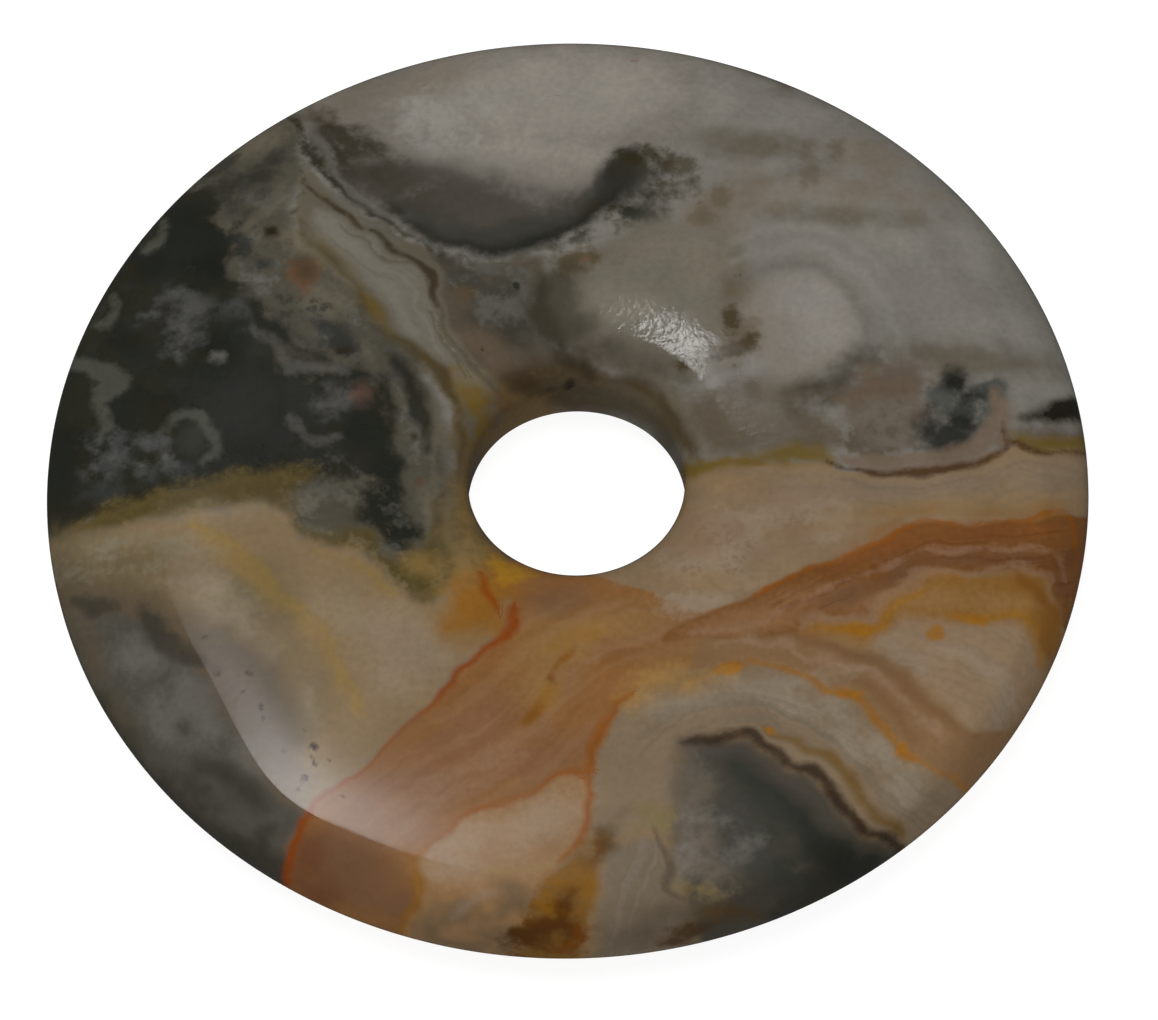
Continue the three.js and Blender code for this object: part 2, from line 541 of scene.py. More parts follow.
# %% The grey ground
patch("warm ground", "#7f6748",
      [(560, 540), (690, 466), (780, 462), (880, 476), (960, 470), (1010, 448), (1140, 455),
       (1140, 700), (1000, 900), (760, 1020), (400, 1020), (280, 990), (290, 860), (316, 808),
       (450, 680), (510, 615)],
      soft=0.15, wavy=0.05)
cloud("milky clouds", "#87837a", (695, 105, 40, 34, 0), (788, 120, 46, 10, 8),
      (758, 160, 16, 8, -20), (975, 250, 18, 34, 25), (985, 322, 24, 8, 5),
      (1018, 325, 30, 11, -50), (1035, 384, 42, 16, -8), (900, 238, 40, 18, -20), soft=0.5,
      wavy=0.4, amount=0.55)
cloud("smoky clouds", "#554c3d", (755, 145, 60, 14, -5), (842, 214, 70, 9, -3),
      (965, 362, 80, 17, -4), (950, 372, 34, 12, 0), (790, 172, 34, 5, 20), (775, 72, 60, 10, -20),
      soft=0.45, wavy=0.35, amount=0.7)
cloud("beige clouds", "#74695b", (868, 160, 38, 14, -25), (850, 190, 80, 13, -6),
      (710, 225, 34, 34, 0), (740, 200, 60, 16, 10), (722, 270, 20, 16, 0), (660, 262, 40, 20, 0),
      soft=0.5, wavy=0.5, amount=0.75)
cloud("under cloud", "#554a39", (735, 425, 60, 34, -8), (810, 425, 44, 18, -25),
      (770, 395, 60, 16, 0), (800, 440, 60, 12, 0), soft=0.6, wavy=0.4, amount=0.85)
cloud("far smoke", "#5e5546", (811, 170, 12, 16, 10), (804, 155, 7, 7, 0), (838, 145, 10, 10, 0),
      (806, 181, 7, 6, 0), soft=0.25, wavy=0.4, grainy=0.15, amount=0.6)

# %% [markdown]
# The left part of the grey swells up as a pale dome over a dark, smoky crescent.

# %% The pale dome
patch("dome", "#756f66",
      [(296, 70), (640, -20), (700, 60), (690, 130), (640, 150), (612, 165), (590, 200), (555, 225),
       (500, 240), (450, 232), (400, 205), (340, 170), (302, 120)],
      soft=0.5)
patch("dome body", "#45413a",
      [(306, 110), (328, 118), (345, 150), (400, 160), (455, 170), (520, 192), (570, 192),
       (600, 175), (596, 205), (560, 228), (500, 246), (440, 240), (395, 214), (345, 190),
       (316, 158)],
      soft=0.75, wavy=0.4, amount=0.95, grainy=0.2)
cloud("dome warmth", "#948e84", (560, 95, 130, 46, 4), (540, 150, 80, 16, -5), soft=1.0, amount=0.8)
cloud("dome rim", "#736a5d", (420, 84, 46, 14, 18), (345, 105, 34, 14, 25), soft=0.5, wavy=0.4,
      amount=0.7)
cloud("dome frost", "#8e8b83", (440, 120, 40, 22, -20), (452, 112, 26, 14, 20),
      (408, 116, 18, 9, 40), (425, 140, 22, 8, -35), soft=0.5, wavy=0.6, grainy=0.2, amount=0.65)
cloud("dome smoke", "#2d2719", (350, 142, 28, 14, -20), (362, 152, 26, 12, 0),
      (336, 128, 18, 10, -30), (340, 160, 20, 12, -45), (380, 176, 26, 14, -30),
      (410, 196, 30, 12, -30), soft=0.45, wavy=0.5, grainy=0.12, amount=0.85)
cloud("dome brown", "#48433a", (420, 190, 62, 20, -18), (470, 212, 50, 14, -12),
      (375, 185, 30, 14, -30), (450, 180, 40, 12, -10), soft=0.6, wavy=0.4, amount=0.75)
strand("dome wisps", "#6c6961",
       ((2, 7, 8, 3), [(350, 163), (362, 160), (374, 162), (388, 158)]),
       ((1.5, 3, 3, 1.5), [(390, 202), (408, 192), (426, 185), (440, 180)]),
       ((2, 8, 7, 3), [(350, 112), (368, 106), (384, 112), (398, 118)]),
       soft=0.25, wavy=0.25, grainy=0.15, amount=0.3)
strand("crescent", "#0f120c",
       ((3, 14, 24, 34, 38, 36, 32, 30, 30, 34, 36, 26),
        [(392, 202), (412, 220), (438, 234), (470, 241), (499, 242), (527, 236), (552, 228),
         (577, 216), (594, 206), (608, 192), (618, 176), (630, 158)]),
       soft=0.42, wavy=0.25, grainy=0.06, amount=0.92)
strand("crescent glow", "#484740",
       ((3, 14, 22, 26, 26, 22, 20, 18, 14),
        [(384, 192), (412, 212), (442, 228), (477, 235), (505, 234), (535, 225), (562, 216),
         (586, 200), (602, 184)]),
       soft=0.4, wavy=0.2, amount=0.6)
cloud("rough blot", "#2e2d26", (638, 176, 20, 22, 20), (626, 194, 20, 14, 20),
      (648, 192, 18, 12, 0), (626, 158, 10, 10, 0), (656, 170, 14, 14, 0), (640, 206, 20, 8, -10),
      soft=0.55, wavy=0.5, grainy=0.15, amount=0.85)
cloud("rough brown", "#33290f", (680, 165, 24, 12, -15), (672, 190, 20, 12, 0),
      (650, 154, 18, 7, 0), (692, 178, 12, 14, 0), (616, 222, 20, 8, -20), soft=0.4, wavy=0.6,
      grainy=0.2, amount=0.7)
cloud("grey lens", "#22241d", (634, 214, 17, 6, -8), (580, 236, 16, 4, 18), (513, 268, 20, 5, 4),
      soft=0.14, wavy=0.15, grainy=0.1, amount=0.85)
strand("crescent rim", "#4f4d42",
       ((2, 4, 5, 7, 8, 6, 7, 6, 7, 5, 4),
        [(405, 234), (425, 244), (444, 252), (461, 260), (483, 265), (510, 259), (538, 249),
         (556, 247), (582, 239), (600, 238), (616, 230)]),
       soft=0.16, wavy=0.15, grainy=0.08, amount=0.7, uneven=0.09)

# %% [markdown]
# Behind the hole the grey carries on as a soft ball. The strip between the ball and the
# wedge is mottled, and turns brown towards the hole.

# %% The ball and the mottled strip
patch("strip", "#51493d",
      [(416, 246), (450, 258), (486, 268), (536, 254), (545, 275), (532, 310), (545, 340),
       (572, 362), (600, 372), (660, 380), (700, 460), (640, 420), (560, 410), (500, 420),
       (486, 392), (462, 360), (444, 325), (434, 290), (430, 266)],
      soft=0.35)
cloud("strip grey", "#393830", (462, 268, 26, 10, -40), (502, 294, 30, 22, 0),
      (525, 320, 18, 22, -20), (482, 322, 16, 10, 0), (505, 335, 22, 14, -10), soft=0.45, wavy=0.5,
      grainy=0.2, amount=0.85)
cloud("strip frost", "#63625b", (502, 290, 9, 9, 0), (526, 292, 10, 9, 20), (512, 308, 12, 6, -20),
      (532, 305, 6, 10, 0), (484, 305, 6, 10, 0), (520, 280, 14, 4, 0), (505, 272, 14, 3, 0),
      (540, 335, 5, 12, 20), soft=0.3, wavy=0.5, grainy=0.2, amount=0.6)
cloud("strip pink", "#5f5242", (480, 345, 26, 16, -30), (500, 362, 26, 12, -10),
      (468, 366, 14, 14, 0), soft=0.45, wavy=0.3, amount=0.8)
cloud("strip brown", "#3c2e1a", (524, 388, 26, 22, 20), (548, 394, 28, 14, -10),
      (562, 374, 34, 10, 0), (528, 408, 22, 14, 0), (580, 400, 30, 12, 0), soft=0.55, wavy=0.35,
      amount=0.85)
cloud("mouth beige", "#594c36", (596, 373, 36, 7, 0), (640, 372, 20, 6, 10), soft=0.3, wavy=0.4,
      grainy=0.15, amount=0.6)
cloud("mouth grey", "#5a523f", (612, 397, 46, 10, -6), (646, 412, 22, 12, -35),
      (668, 440, 14, 24, 20), soft=0.4, wavy=0.2, amount=0.8)
strand("mouth brown", "#4a3b21",
       ((4, 10, 13, 14, 12, 10),
        [(626, 382), (644, 388), (660, 400), (672, 416), (684, 436), (692, 456)]),
       soft=0.35, wavy=0.15, grainy=0.06, amount=0.75)
strand("mouth pale", "#686150",
       ((4, 14, 16, 14, 8), [(650, 366), (662, 380), (674, 396), (686, 416), (697, 438)]),
       soft=0.3, wavy=0.3, grainy=0.1, amount=0.7)
cloud("strip rust", "#5b4831", (466, 297, 6, 7, 0), (600, 362, 14, 5, 0), (624, 368, 10, 6, 0),
      (652, 360, 12, 3, 10), (570, 352, 10, 5, 0), soft=0.3, wavy=0.35, grainy=0.1, amount=0.6)
cloud("strip dots", "#24221b", (569, 384, 6, 3, 20), (517, 288, 4, 4, 0), (484, 350, 2.5, 2.5, 0),
      soft=0.08, wavy=0.08, grainy=0.05, amount=0.9)
patch("ball", "#696256",
      [(545, 275), (575, 256), (620, 236), (670, 226), (730, 240), (752, 275), (755, 330),
       (742, 366), (700, 384), (650, 376), (600, 366), (572, 350), (548, 328), (536, 300)],
      soft=0.4)
cloud("ball light", "#6e695d", (650, 285, 80, 46, 12), (690, 240, 40, 20, 0), soft=0.9, amount=0.9)
cloud("ball beige", "#776f60", (645, 255, 30, 16, 10), (630, 300, 50, 20, 0), (700, 262, 30, 20, 0),
      soft=0.5, wavy=0.4, amount=0.5)
cloud("ball blotch", "#4a3f24", (588, 256, 26, 8, 5), (565, 262, 20, 8, -10), soft=0.25, wavy=0.4,
      grainy=0.15, amount=0.75)
strand("ball shade", "#241d10",
       ((10, 22, 22, 16, 12, 8),
        [(543, 280), (541, 305), (548, 328), (560, 348), (576, 362), (592, 374)]),
       soft=0.35, wavy=0.15, grainy=0.06, amount=0.85)
cloud("ball dusk", "#3b362a", (556, 305, 28, 44, -8), (590, 350, 50, 14, -12),
      (640, 368, 40, 8, -10), (570, 330, 26, 26, 0), soft=0.7, amount=0.8)
cloud("tiny dots", "#3e3527", (734, 276, 2, 1.5, 0), (740, 275, 2, 1.5, 0), (749, 360, 2.5, 1.5, 0),
      (732, 366, 2.5, 1.5, 0), (739, 136, 2.5, 1.5, 0), (700, 203, 2.5, 1.5, 0),
      (808, 526, 3, 2.5, 0), (545, 160, 1.5, 1.5, 0), soft=0.05, wavy=0.03, grainy=0.02, amount=0.8)
cloud("red dots", "#6f4c3d", (636, 58, 4, 2, 10), (693, 75, 3, 2, 0), (420, 480, 3, 2, 0),
      (550, 680, 2, 2, 0), (586, 260, 4, 3, 0), (725, 530, 2.5, 1.5, 0), (703, 547, 2.5, 1.5, 0),
      (421, 481, 3.5, 2, 0), soft=0.06, wavy=0.04, amount=0.55)
seam("hair mark", "#5d5d5a",
     (1.6, [(547, 97), (551, 94), (556, 93), (562, 95)]),
     soft=0.03, amount=0.8)

# %% [markdown]
# On the right the chalcedony closes round a pale disc in rings, like the layers of a pearl.
# Iron has left a few brown spots along the disc's left edge.

# %% The ringed disc on the right
cloud("disc", "#80796e", (800, 322, 62, 56, 0), soft=0.6, amount=0.85)
cloud("disc light", "#8b867f", (822, 335, 36, 18, 12), (812, 300, 40, 26, -20), soft=0.6, wavy=0.25,
      amount=0.7)
strand("disc shade", "#66625a",
       ((4, 9, 12, 13, 14, 12, 8),
        [(744, 280), (772, 268), (808, 264), (838, 280), (857, 303), (868, 325), (866, 350)]),
       soft=0.3, wavy=0.1, amount=0.6)
strand("disc rings", "#87837b",
       ((4, 7, 9, 8, 6, 4),
        [(730, 242), (768, 229), (801, 225), (831, 232), (858, 249), (884, 274)]),
       ((4, 9, 12, 12, 12, 11, 9, 5),
        [(730, 262), (762, 254), (792, 247), (820, 248), (843, 260), (866, 278), (884, 302),
         (902, 344)]),
       soft=0.22, wavy=0.06, grainy=0.02, amount=0.45)
cloud("disc smoke", "#352e21", (842, 380, 16, 22, -35), (856, 362, 14, 10, 30),
      (820, 388, 28, 12, 15), (872, 362, 14, 8, -50), (826, 402, 20, 8, 10), soft=0.45, wavy=0.3,
      grainy=0.08, amount=0.75)
cloud("brown haze", "#5f5442", (735, 290, 14, 12, 0), (742, 335, 18, 16, 0), (718, 195, 14, 15, 0),
      (700, 215, 14, 12, 0), soft=0.35, wavy=0.4, grainy=0.15, amount=0.75)
cloud("brown spots", "#3f341f", (731, 319, 10, 14, 10), (711, 349, 9, 6, 0), (738, 348, 17, 7, 10),
      (749, 339, 8, 5, 30), (701, 361, 7, 4, 0), (682, 366, 6, 6, 0), (716, 358, 6, 3, 0),
      soft=0.16, wavy=0.15, grainy=0.12, amount=0.85)

# %% [markdown]
# Under the disc lies a spongy patch with smoke-dark pores.

# %% The spongy patch under the disc
cloud("sponge", "#5e5449", (885, 412, 46, 44, 0), (900, 380, 34, 20, -10), (870, 440, 30, 16, -20),
      (1045, 434, 44, 11, -4), soft=0.5, wavy=0.4, grainy=0.15)
cloud("sponge light", "#6e665a", (875, 418, 30, 18, 10), (895, 440, 22, 12, 0),
      (905, 408, 16, 8, 30), soft=0.4, wavy=0.5, grainy=0.2, amount=0.6)
cloud("sponge brown", "#605140", (880, 385, 26, 10, -10), (852, 400, 14, 12, 0),
      (905, 388, 12, 10, 0), (868, 372, 10, 8, 0), soft=0.3, wavy=0.5, grainy=0.2, amount=0.6)
cloud("sponge net", "#4f4738", (856, 448, 14, 8, -35), (880, 452, 16, 4, -5), (850, 432, 8, 8, 0),
      (892, 432, 6, 5, 0), (868, 428, 8, 4, 30), soft=0.22, wavy=0.45, grainy=0.25, amount=0.7)
cloud("pore haze", "#3c3f3b", (943, 398, 16, 16, 0), (962, 412, 14, 12, 0), (985, 390, 22, 12, 0),
      (990, 410, 12, 10, 0), soft=0.35, wavy=0.35, grainy=0.1, amount=0.8)
cloud("pores", "#161814", (958, 385, 17, 12, -35), (970, 396, 12, 12, 0), (946, 438, 28, 20, 0),
      (930, 430, 16, 18, 0), (962, 424, 18, 14, 0), soft=0.4, wavy=0.25, grainy=0.05, amount=0.9)
strand("rim smoke", "#150f05",
       ((4, 14, 24, 30), [(1018, 420), (1040, 416), (1062, 411), (1090, 407)]),
       soft=0.3, wavy=0.15, grainy=0.06, amount=0.95)

# %% [markdown]
# The left of the stone is moss agate: an almost black green, with clouds and small orbs.
# A grey and beige mottle parts it from a cream wedge that points up to the rim.

# %% The mottle between moss and wedge
patch("mottle", "#4f4b40",
      [(120, 250), (215, 150), (290, 112), (302, 130), (303, 175), (292, 205), (300, 240),
       (335, 262), (360, 292), (385, 325), (410, 348), (432, 385), (446, 420), (450, 470),
       (450, 520), (444, 560), (400, 560), (300, 520), (200, 460), (120, 400)],
      soft=0.35, wavy=0.25)
cloud("mottle beige", "#665f50", (262, 138, 30, 14, 35), (265, 202, 26, 16, 20),
      (240, 225, 18, 18, 0), (320, 300, 30, 20, -20), (350, 345, 26, 12, -30),
      (435, 430, 10, 40, 0), (295, 240, 20, 14, 0), (432, 500, 8, 34, 0), soft=0.35, wavy=0.5,
      grainy=0.15, amount=0.75)
cloud("mottle frost", "#6a6963", (255, 196, 14, 8, 0), (262, 280, 16, 9, -20), (244, 262, 10, 6, 0),
      (300, 198, 8, 5, 0), (280, 262, 12, 6, 0), (262, 292, 12, 6, 0), (252, 240, 6, 4, 0),
      (236, 275, 8, 6, 0), (415, 436, 5, 18, -5), (402, 400, 4, 20, 5), (310, 320, 10, 3, -10),
      (330, 335, 12, 3, 0), (355, 322, 8, 4, -30), soft=0.25, wavy=0.45, grainy=0.3, amount=0.6)
cloud("mottle smoke", "#2b2c27", (250, 176, 24, 12, 5), (278, 157, 14, 8, 15),
      (228, 186, 20, 14, 30), (212, 196, 18, 12, 40), (256, 192, 14, 8, 0), (285, 297, 14, 6, 10),
      (344, 338, 14, 14, -40), (322, 325, 22, 5, -10), (280, 312, 16, 6, -20),
      (300, 334, 16, 7, -30), (262, 262, 14, 7, 0), (343, 348, 8, 5, 0), (238, 212, 18, 12, 30),
      (222, 172, 14, 8, 35), (240, 250, 10, 14, 20), soft=0.4, wavy=0.5, grainy=0.2, amount=0.8)
cloud("mottle spots", "#35332c", (230, 200, 12, 6, 30), (206, 190, 12, 7, 40), (262, 250, 8, 4, 10),
      (240, 242, 8, 6, 0), (284, 297, 9, 5, 0), (254, 226, 5, 2, 0), (322, 322, 18, 3, -8),
      (300, 312, 12, 3, 0), (284, 312, 8, 3, 0), (342, 344, 9, 7, -30), (318, 300, 2, 10, 60),
      (292, 240, 5, 7, 0), soft=0.15, wavy=0.25, grainy=0.25, amount=0.6)
patch("hole border", "#675638",
      [(424, 352), (470, 366), (512, 392), (560, 412), (560, 560), (520, 600), (460, 600),
       (444, 570), (440, 530), (452, 490), (458, 450), (450, 400)],
      soft=0.4, wavy=0.2)

# %% The moss
patch("moss", "#28271e",
      [(-40, 240), (110, 230), (150, 200), (188, 184), (204, 190), (215, 204), (222, 224),
       (232, 243), (234, 257), (228, 272), (238, 284), (238, 300), (254, 302), (262, 316),
       (268, 330), (280, 350), (284, 372), (330, 374), (352, 370), (370, 374), (385, 392),
       (390, 416), (394, 445), (398, 475), (406, 500), (416, 525), (416, 542), (408, 550),
       (398, 550), (388, 538), (370, 522), (355, 520), (345, 505), (330, 492), (311, 480),
       (268, 482), (230, 487), (198, 495), (161, 503), (126, 512), (102, 521), (75, 531), (54, 543),
       (0, 567), (-60, 567)],
      soft=0.3, wavy=0.45, grainy=0.12)
cloud("moss mottle", "#2f322f", (170, 330, 130, 130, 0), (300, 420, 110, 110, 0), soft=0.6,
      grainy=0.3, amount=0.6, broken=("blotch", 0.42, 0.66))
cloud("moss depth", "#22241f", (230, 395, 70, 40, 0), (200, 270, 30, 26, 0), (100, 420, 40, 40, 0),
      (150, 390, 40, 20, 0), (240, 455, 60, 18, 0), soft=0.7, wavy=0.5, amount=0.8)
cloud("moss night", "#1b1d18", (190, 232, 30, 24, 0), (150, 262, 18, 20, -50),
      (204, 262, 24, 14, 0), (222, 350, 26, 18, -20), (110, 330, 12, 36, 60), (240, 310, 14, 20, 0),
      (300, 404, 30, 14, 0), (92, 384, 14, 20, 0), soft=0.45, wavy=0.45, grainy=0.12, amount=0.7)
cloud("moss haze", "#2e2e2a", (176, 305, 34, 20, -10), (158, 325, 20, 14, 0),
      (188, 345, 12, 18, -20), (180, 385, 26, 10, -15), (302, 403, 28, 26, 0),
      (345, 396, 26, 24, 0), (262, 345, 16, 14, 0), (250, 400, 40, 30, 0), (330, 455, 40, 12, -10),
      soft=0.6, wavy=0.5, grainy=0.1, amount=0.75)
cloud("moss net", "#363835", (120, 452, 34, 16, 5), (105, 470, 24, 14, 0), (150, 448, 20, 12, 0),
      (150, 470, 26, 10, 0), (322, 498, 30, 20, 0), (100, 490, 20, 8, 0), soft=0.5, wavy=0.9,
      grainy=0.15, amount=0.75)
cloud("moss frost", "#5c5b58", (176, 300, 14, 7, 20), (196, 306, 8, 14, 10), (172, 322, 16, 6, -20),
      (184, 338, 6, 16, -25), (98, 447, 16, 5, 10), (130, 440, 18, 4, 0), (112, 458, 10, 5, 0),
      (160, 446, 12, 7, 20), (90, 470, 10, 6, 0), (140, 466, 8, 5, 0), (165, 458, 8, 8, 0),
      (338, 397, 14, 16, 40), (330, 404, 12, 10, 0), (240, 312, 10, 12, 20), soft=0.4, wavy=0.5,
      grainy=0.12, amount=0.6)
cloud("moss heart", "#23251f", (364, 430, 22, 22, 20), (190, 235, 26, 22, 0), (75, 400, 22, 30, 0),
      (212, 370, 24, 12, 0), (62, 470, 16, 40, 0), (240, 330, 12, 16, 20), (385, 500, 22, 20, 0),
      (404, 530, 12, 22, 0), (386, 466, 16, 20, 0), soft=0.35, wavy=0.35, grainy=0.1, amount=0.9)
cloud("moss olive", "#2c2b20", (78, 405, 24, 26, 0), (148, 383, 16, 6, -10), (222, 293, 12, 5, 0),
      (92, 332, 16, 12, 40), soft=0.35, wavy=0.3, amount=0.7)

# %% [markdown]
# Fingers of the moss reach up to the wedge, and pale hooks, veins and orbs float in it.

# %% Fingers, hooks and orbs
strand("moss fingers", "#23231c",
       ((8, 16, 20, 20, 16, 8),
        [(395, 358), (405, 374), (414, 392), (421, 410), (425, 428), (428, 448)]),
       ((6, 14, 16, 20), [(369, 372), (380, 386), (388, 404), (390, 426)]),
       ((10, 14, 13, 10, 8), [(252, 303), (263, 319), (284, 338), (309, 354), (328, 364)]),
       ((5, 7, 7, 5), [(304, 377), (330, 376), (350, 374), (366, 372)]),
       soft=0.28, wavy=0.2, grainy=0.08, amount=0.88)
strand("pale veins", "#5d5b54",
       ((4, 8, 9, 7), [(253, 328), (268, 341), (282, 357), (290, 370)]),
       ((4, 8, 8, 7), [(284, 364), (304, 368), (324, 368), (342, 370)]),
       ((4, 8, 9, 7, 5), [(288, 418), (300, 428), (307, 439), (324, 441), (339, 436)]),
       ((4, 6, 6, 4), [(325, 453), (342, 461), (356, 471), (364, 479)]),
       soft=0.22, wavy=0.25, grainy=0.12, amount=0.5)
strand("hooks", "#4b4b43",
       ((14, 18, 22, 28, 30, 22),
        [(74, 362), (86, 366), (98, 372), (109, 376), (114, 382), (104, 392)]),
       ((16, 12, 12, 13, 13, 8),
        [(104, 390), (99, 400), (102, 412), (106, 424), (103, 434), (96, 440)]),
       ((9, 11, 11, 12, 12, 10, 7),
        [(165, 434), (171, 421), (185, 414), (200, 420), (212, 434), (214, 450), (204, 462)]),
       ((8, 11, 9), [(143, 250), (158, 240), (164, 222)]),
       ((8, 10, 10, 7), [(96, 326), (108, 322), (114, 308), (110, 294)]),
       soft=0.18, wavy=0.08, grainy=0.08, amount=0.85)
cloud("orb eyes", "#31322b", (190, 441, 15, 13, -20), (102, 308, 5, 6, 0), (150, 232, 5, 6, 40),
      soft=0.3, wavy=0.12)
cloud("pips", "#66655d", (218, 358, 7, 5, 0), soft=0.2, wavy=0.1, grainy=0.1, amount=0.8)
cloud("blush", "#5d453a", (361, 393, 10, 11, 0), soft=0.35, wavy=0.15, amount=0.7)
cloud("rust eye", "#64452c", (304, 274, 17, 15, 30), (302, 288, 8, 6, 0), (292, 262, 8, 5, 0),
      soft=0.25, wavy=0.3, grainy=0.15, amount=0.8)
cloud("rust heart", "#463b2a", (306, 272, 10, 10, -20), (300, 262, 8, 4, 0), soft=0.25, wavy=0.2,
      grainy=0.15, amount=0.8)
cloud("pinholes", "#2b2418", (272, 232, 8, 7, 0), (343, 350, 5, 3, 0), (412, 438, 3, 3, 0),
      soft=0.16, wavy=0.04, grainy=0.05)
# %% [markdown]
# The cream wedge is laid down in thin layers of brown, cream and gold.

# %% The cream wedge
patch("wedge", "#5e584a",
      [(300, 176), (309, 168), (322, 180), (345, 202), (372, 218), (400, 236), (428, 252),
       (440, 268), (442, 300), (456, 335), (476, 362), (496, 384), (506, 404), (500, 424),
       (470, 440), (456, 405), (436, 374), (412, 350), (390, 338), (372, 312), (350, 286),
       (322, 258), (302, 236), (294, 212)],
      soft=0.15)
patch("wedge milk", "#747066",
      [(312, 208), (328, 212), (345, 224), (365, 237), (385, 252), (402, 262), (418, 270),
       (426, 290), (430, 312), (444, 338), (462, 362), (479, 391), (469, 391), (446, 364),
       (426, 346), (404, 334), (392, 314), (378, 294), (358, 272), (338, 250), (318, 230)],
      soft=0.34, wavy=0.12, amount=0.85)
cloud("wedge sand", "#756950", (470, 386, 16, 26, 35), (318, 250, 22, 8, -35),
      (350, 278, 16, 8, -45), soft=0.4, wavy=0.3, amount=0.6)
ripples("wedge layers", "#665f51",
        [(300, 205), (365, 238), (425, 268), (436, 310), (470, 360), (500, 396), (486, 430),
         (440, 365), (395, 330), (350, 280), (300, 245), (292, 215)],
        [(305, 196), (340, 222), (372, 250), (402, 264), (424, 282), (436, 314), (462, 362),
         (496, 400)],
        0.3,
        amount=0.45, soft=0.35)
strand("wedge line", "#362c1c",
       ((3, 6, 7, 7, 7, 7, 6, 3),
        [(301, 174), (305, 182), (314, 191), (326, 200), (338, 209), (349, 216), (358, 222),
         (365, 228)]),
       ((3, 5, 7, 7, 7, 8, 7, 6, 3),
        [(371, 231), (384, 241), (397, 251), (411, 259), (423, 266), (430, 275), (432, 286),
         (433, 296), (435, 306)]),
       ((3, 6, 6, 4), [(300, 190), (296, 202), (292, 214), (291, 224)]),
       soft=0.12, wavy=0.08, grainy=0.06, amount=0.85)
seam("wedge vein", "#4a4030",
     ((2, 3, 3, 4, 5), [(436, 300), (443, 320), (456, 346), (474, 368), (500, 394)]),
     ((2, 3, 3, 3), [(428, 310), (440, 334), (454, 356), (468, 376)]),
     ((1.5, 2, 2, 1.5), [(340, 226), (362, 240), (386, 258), (412, 264)]),
     soft=0.12, wavy=0.08, grainy=0.05, amount=0.6)
strand("dark line", "#2c291d",
       ((4, 6, 8, 9, 9, 8, 8, 6, 4),
        [(290, 115), (300, 130), (307, 146), (315, 160), (324, 170), (334, 181), (345, 192),
         (358, 203), (372, 211)]),
       ((3, 4, 4, 3, 2), [(366, 208), (384, 220), (402, 231), (420, 241), (440, 254)]),
       soft=0.15, wavy=0.08, grainy=0.08, amount=0.9)
strand("pale line", "#63605a",
       ((4, 8, 10, 9, 5), [(310, 126), (317, 136), (324, 148), (331, 160), (340, 174)]),
       ((3, 6, 8, 7, 3), [(340, 180), (347, 188), (354, 195), (361, 201), (368, 206)]),
       ((1.5, 2.5, 2.5, 1.5), [(322, 184), (344, 204), (372, 224), (398, 242)]),
       ((1.5, 3, 3, 3, 1.5), [(368, 204), (384, 214), (402, 227), (420, 240), (440, 250)]),
       soft=0.14, wavy=0.1, grainy=0.08, amount=0.7)
strand("wedge edge", "#403518",
       ((4, 6, 8, 8, 9, 10, 11, 12, 14, 14),
        [(298, 219), (310, 242), (331, 257), (346, 274), (358, 290), (372, 312), (384, 332),
         (404, 342), (428, 364), (452, 396)]),
       soft=0.3, wavy=0.15, grainy=0.06, amount=0.75)
strand("wedge gold", "#625026",
       ((3, 7, 9, 9, 7, 3),
        [(358, 286), (367, 297), (374, 306), (380, 317), (385, 327), (390, 335)]),
       soft=0.26, wavy=0.15, grainy=0.1, amount=0.8)
strand("border brown", "#4c3d24",
       ((8, 10, 10, 9, 9, 9, 10, 9, 8),
        [(426, 356), (444, 376), (456, 402), (461, 430), (459, 462), (452, 486), (440, 500),
         (438, 524), (442, 552)]),
       soft=0.22, wavy=0.12, grainy=0.08, amount=0.75)
cloud("border gold", "#695319", (474, 404, 12, 20, 20), (482, 424, 12, 14, -20),
      (466, 392, 6, 14, 30), soft=0.35, wavy=0.3, grainy=0.1, amount=0.85)
cloud("border amber", "#5e4526", (502, 402, 12, 12, 0), (496, 418, 8, 8, 0), soft=0.3, wavy=0.3,
      amount=0.7)
cloud("border pale", "#695f49", (451, 500, 6, 30, 0), (453, 545, 6, 22, 0), (464, 560, 6, 26, 10),
      soft=0.3, wavy=0.3, grainy=0.12, amount=0.7)

# %% [markdown]
# Between the moss and the hole a grey disc and an olive, grainy border curl round.

# %% The olive border
patch("olive", "#514526",
      [(0, 552), (54, 534), (102, 509), (161, 490), (205, 480), (250, 470), (289, 468), (318, 470),
       (308, 482), (296, 494), (296, 510), (310, 524), (330, 530), (350, 524), (372, 536),
       (392, 556), (410, 556), (424, 544), (438, 540), (450, 548), (455, 566), (450, 584),
       (440, 600), (426, 606), (401, 596), (384, 576), (356, 554), (317, 548), (294, 534),
       (280, 516), (262, 506), (227, 510), (188, 516), (146, 524), (104, 534), (59, 547), (0, 565)],
      soft=0.4, wavy=0.2, grainy=0.15)
cloud("olive gold", "#574c2a", (190, 490, 40, 5, 13), (250, 480, 44, 6, 5), (130, 506, 24, 4, 18),
      (284, 476, 20, 5, 0), (364, 550, 22, 6, -35), (330, 536, 20, 5, -5), (404, 580, 20, 8, -20),
      (440, 560, 8, 20, 0), (230, 494, 30, 5, 5), soft=0.3, wavy=0.4, grainy=0.3, amount=0.5)
cloud("grey disc", "#4b473b", (326, 506, 32, 25, 0), (340, 486, 26, 10, 0), soft=0.4, wavy=0.35,
      grainy=0.1)
cloud("disc frost", "#605d55", (322, 490, 22, 6, 0), (340, 500, 10, 6, 0), (310, 505, 8, 8, 0),
      (400, 508, 8, 4, 0), (386, 498, 5, 4, 0), (404, 520, 5, 4, 0), (392, 548, 6, 3, 0), soft=0.3,
      wavy=0.4, grainy=0.25, amount=0.5)
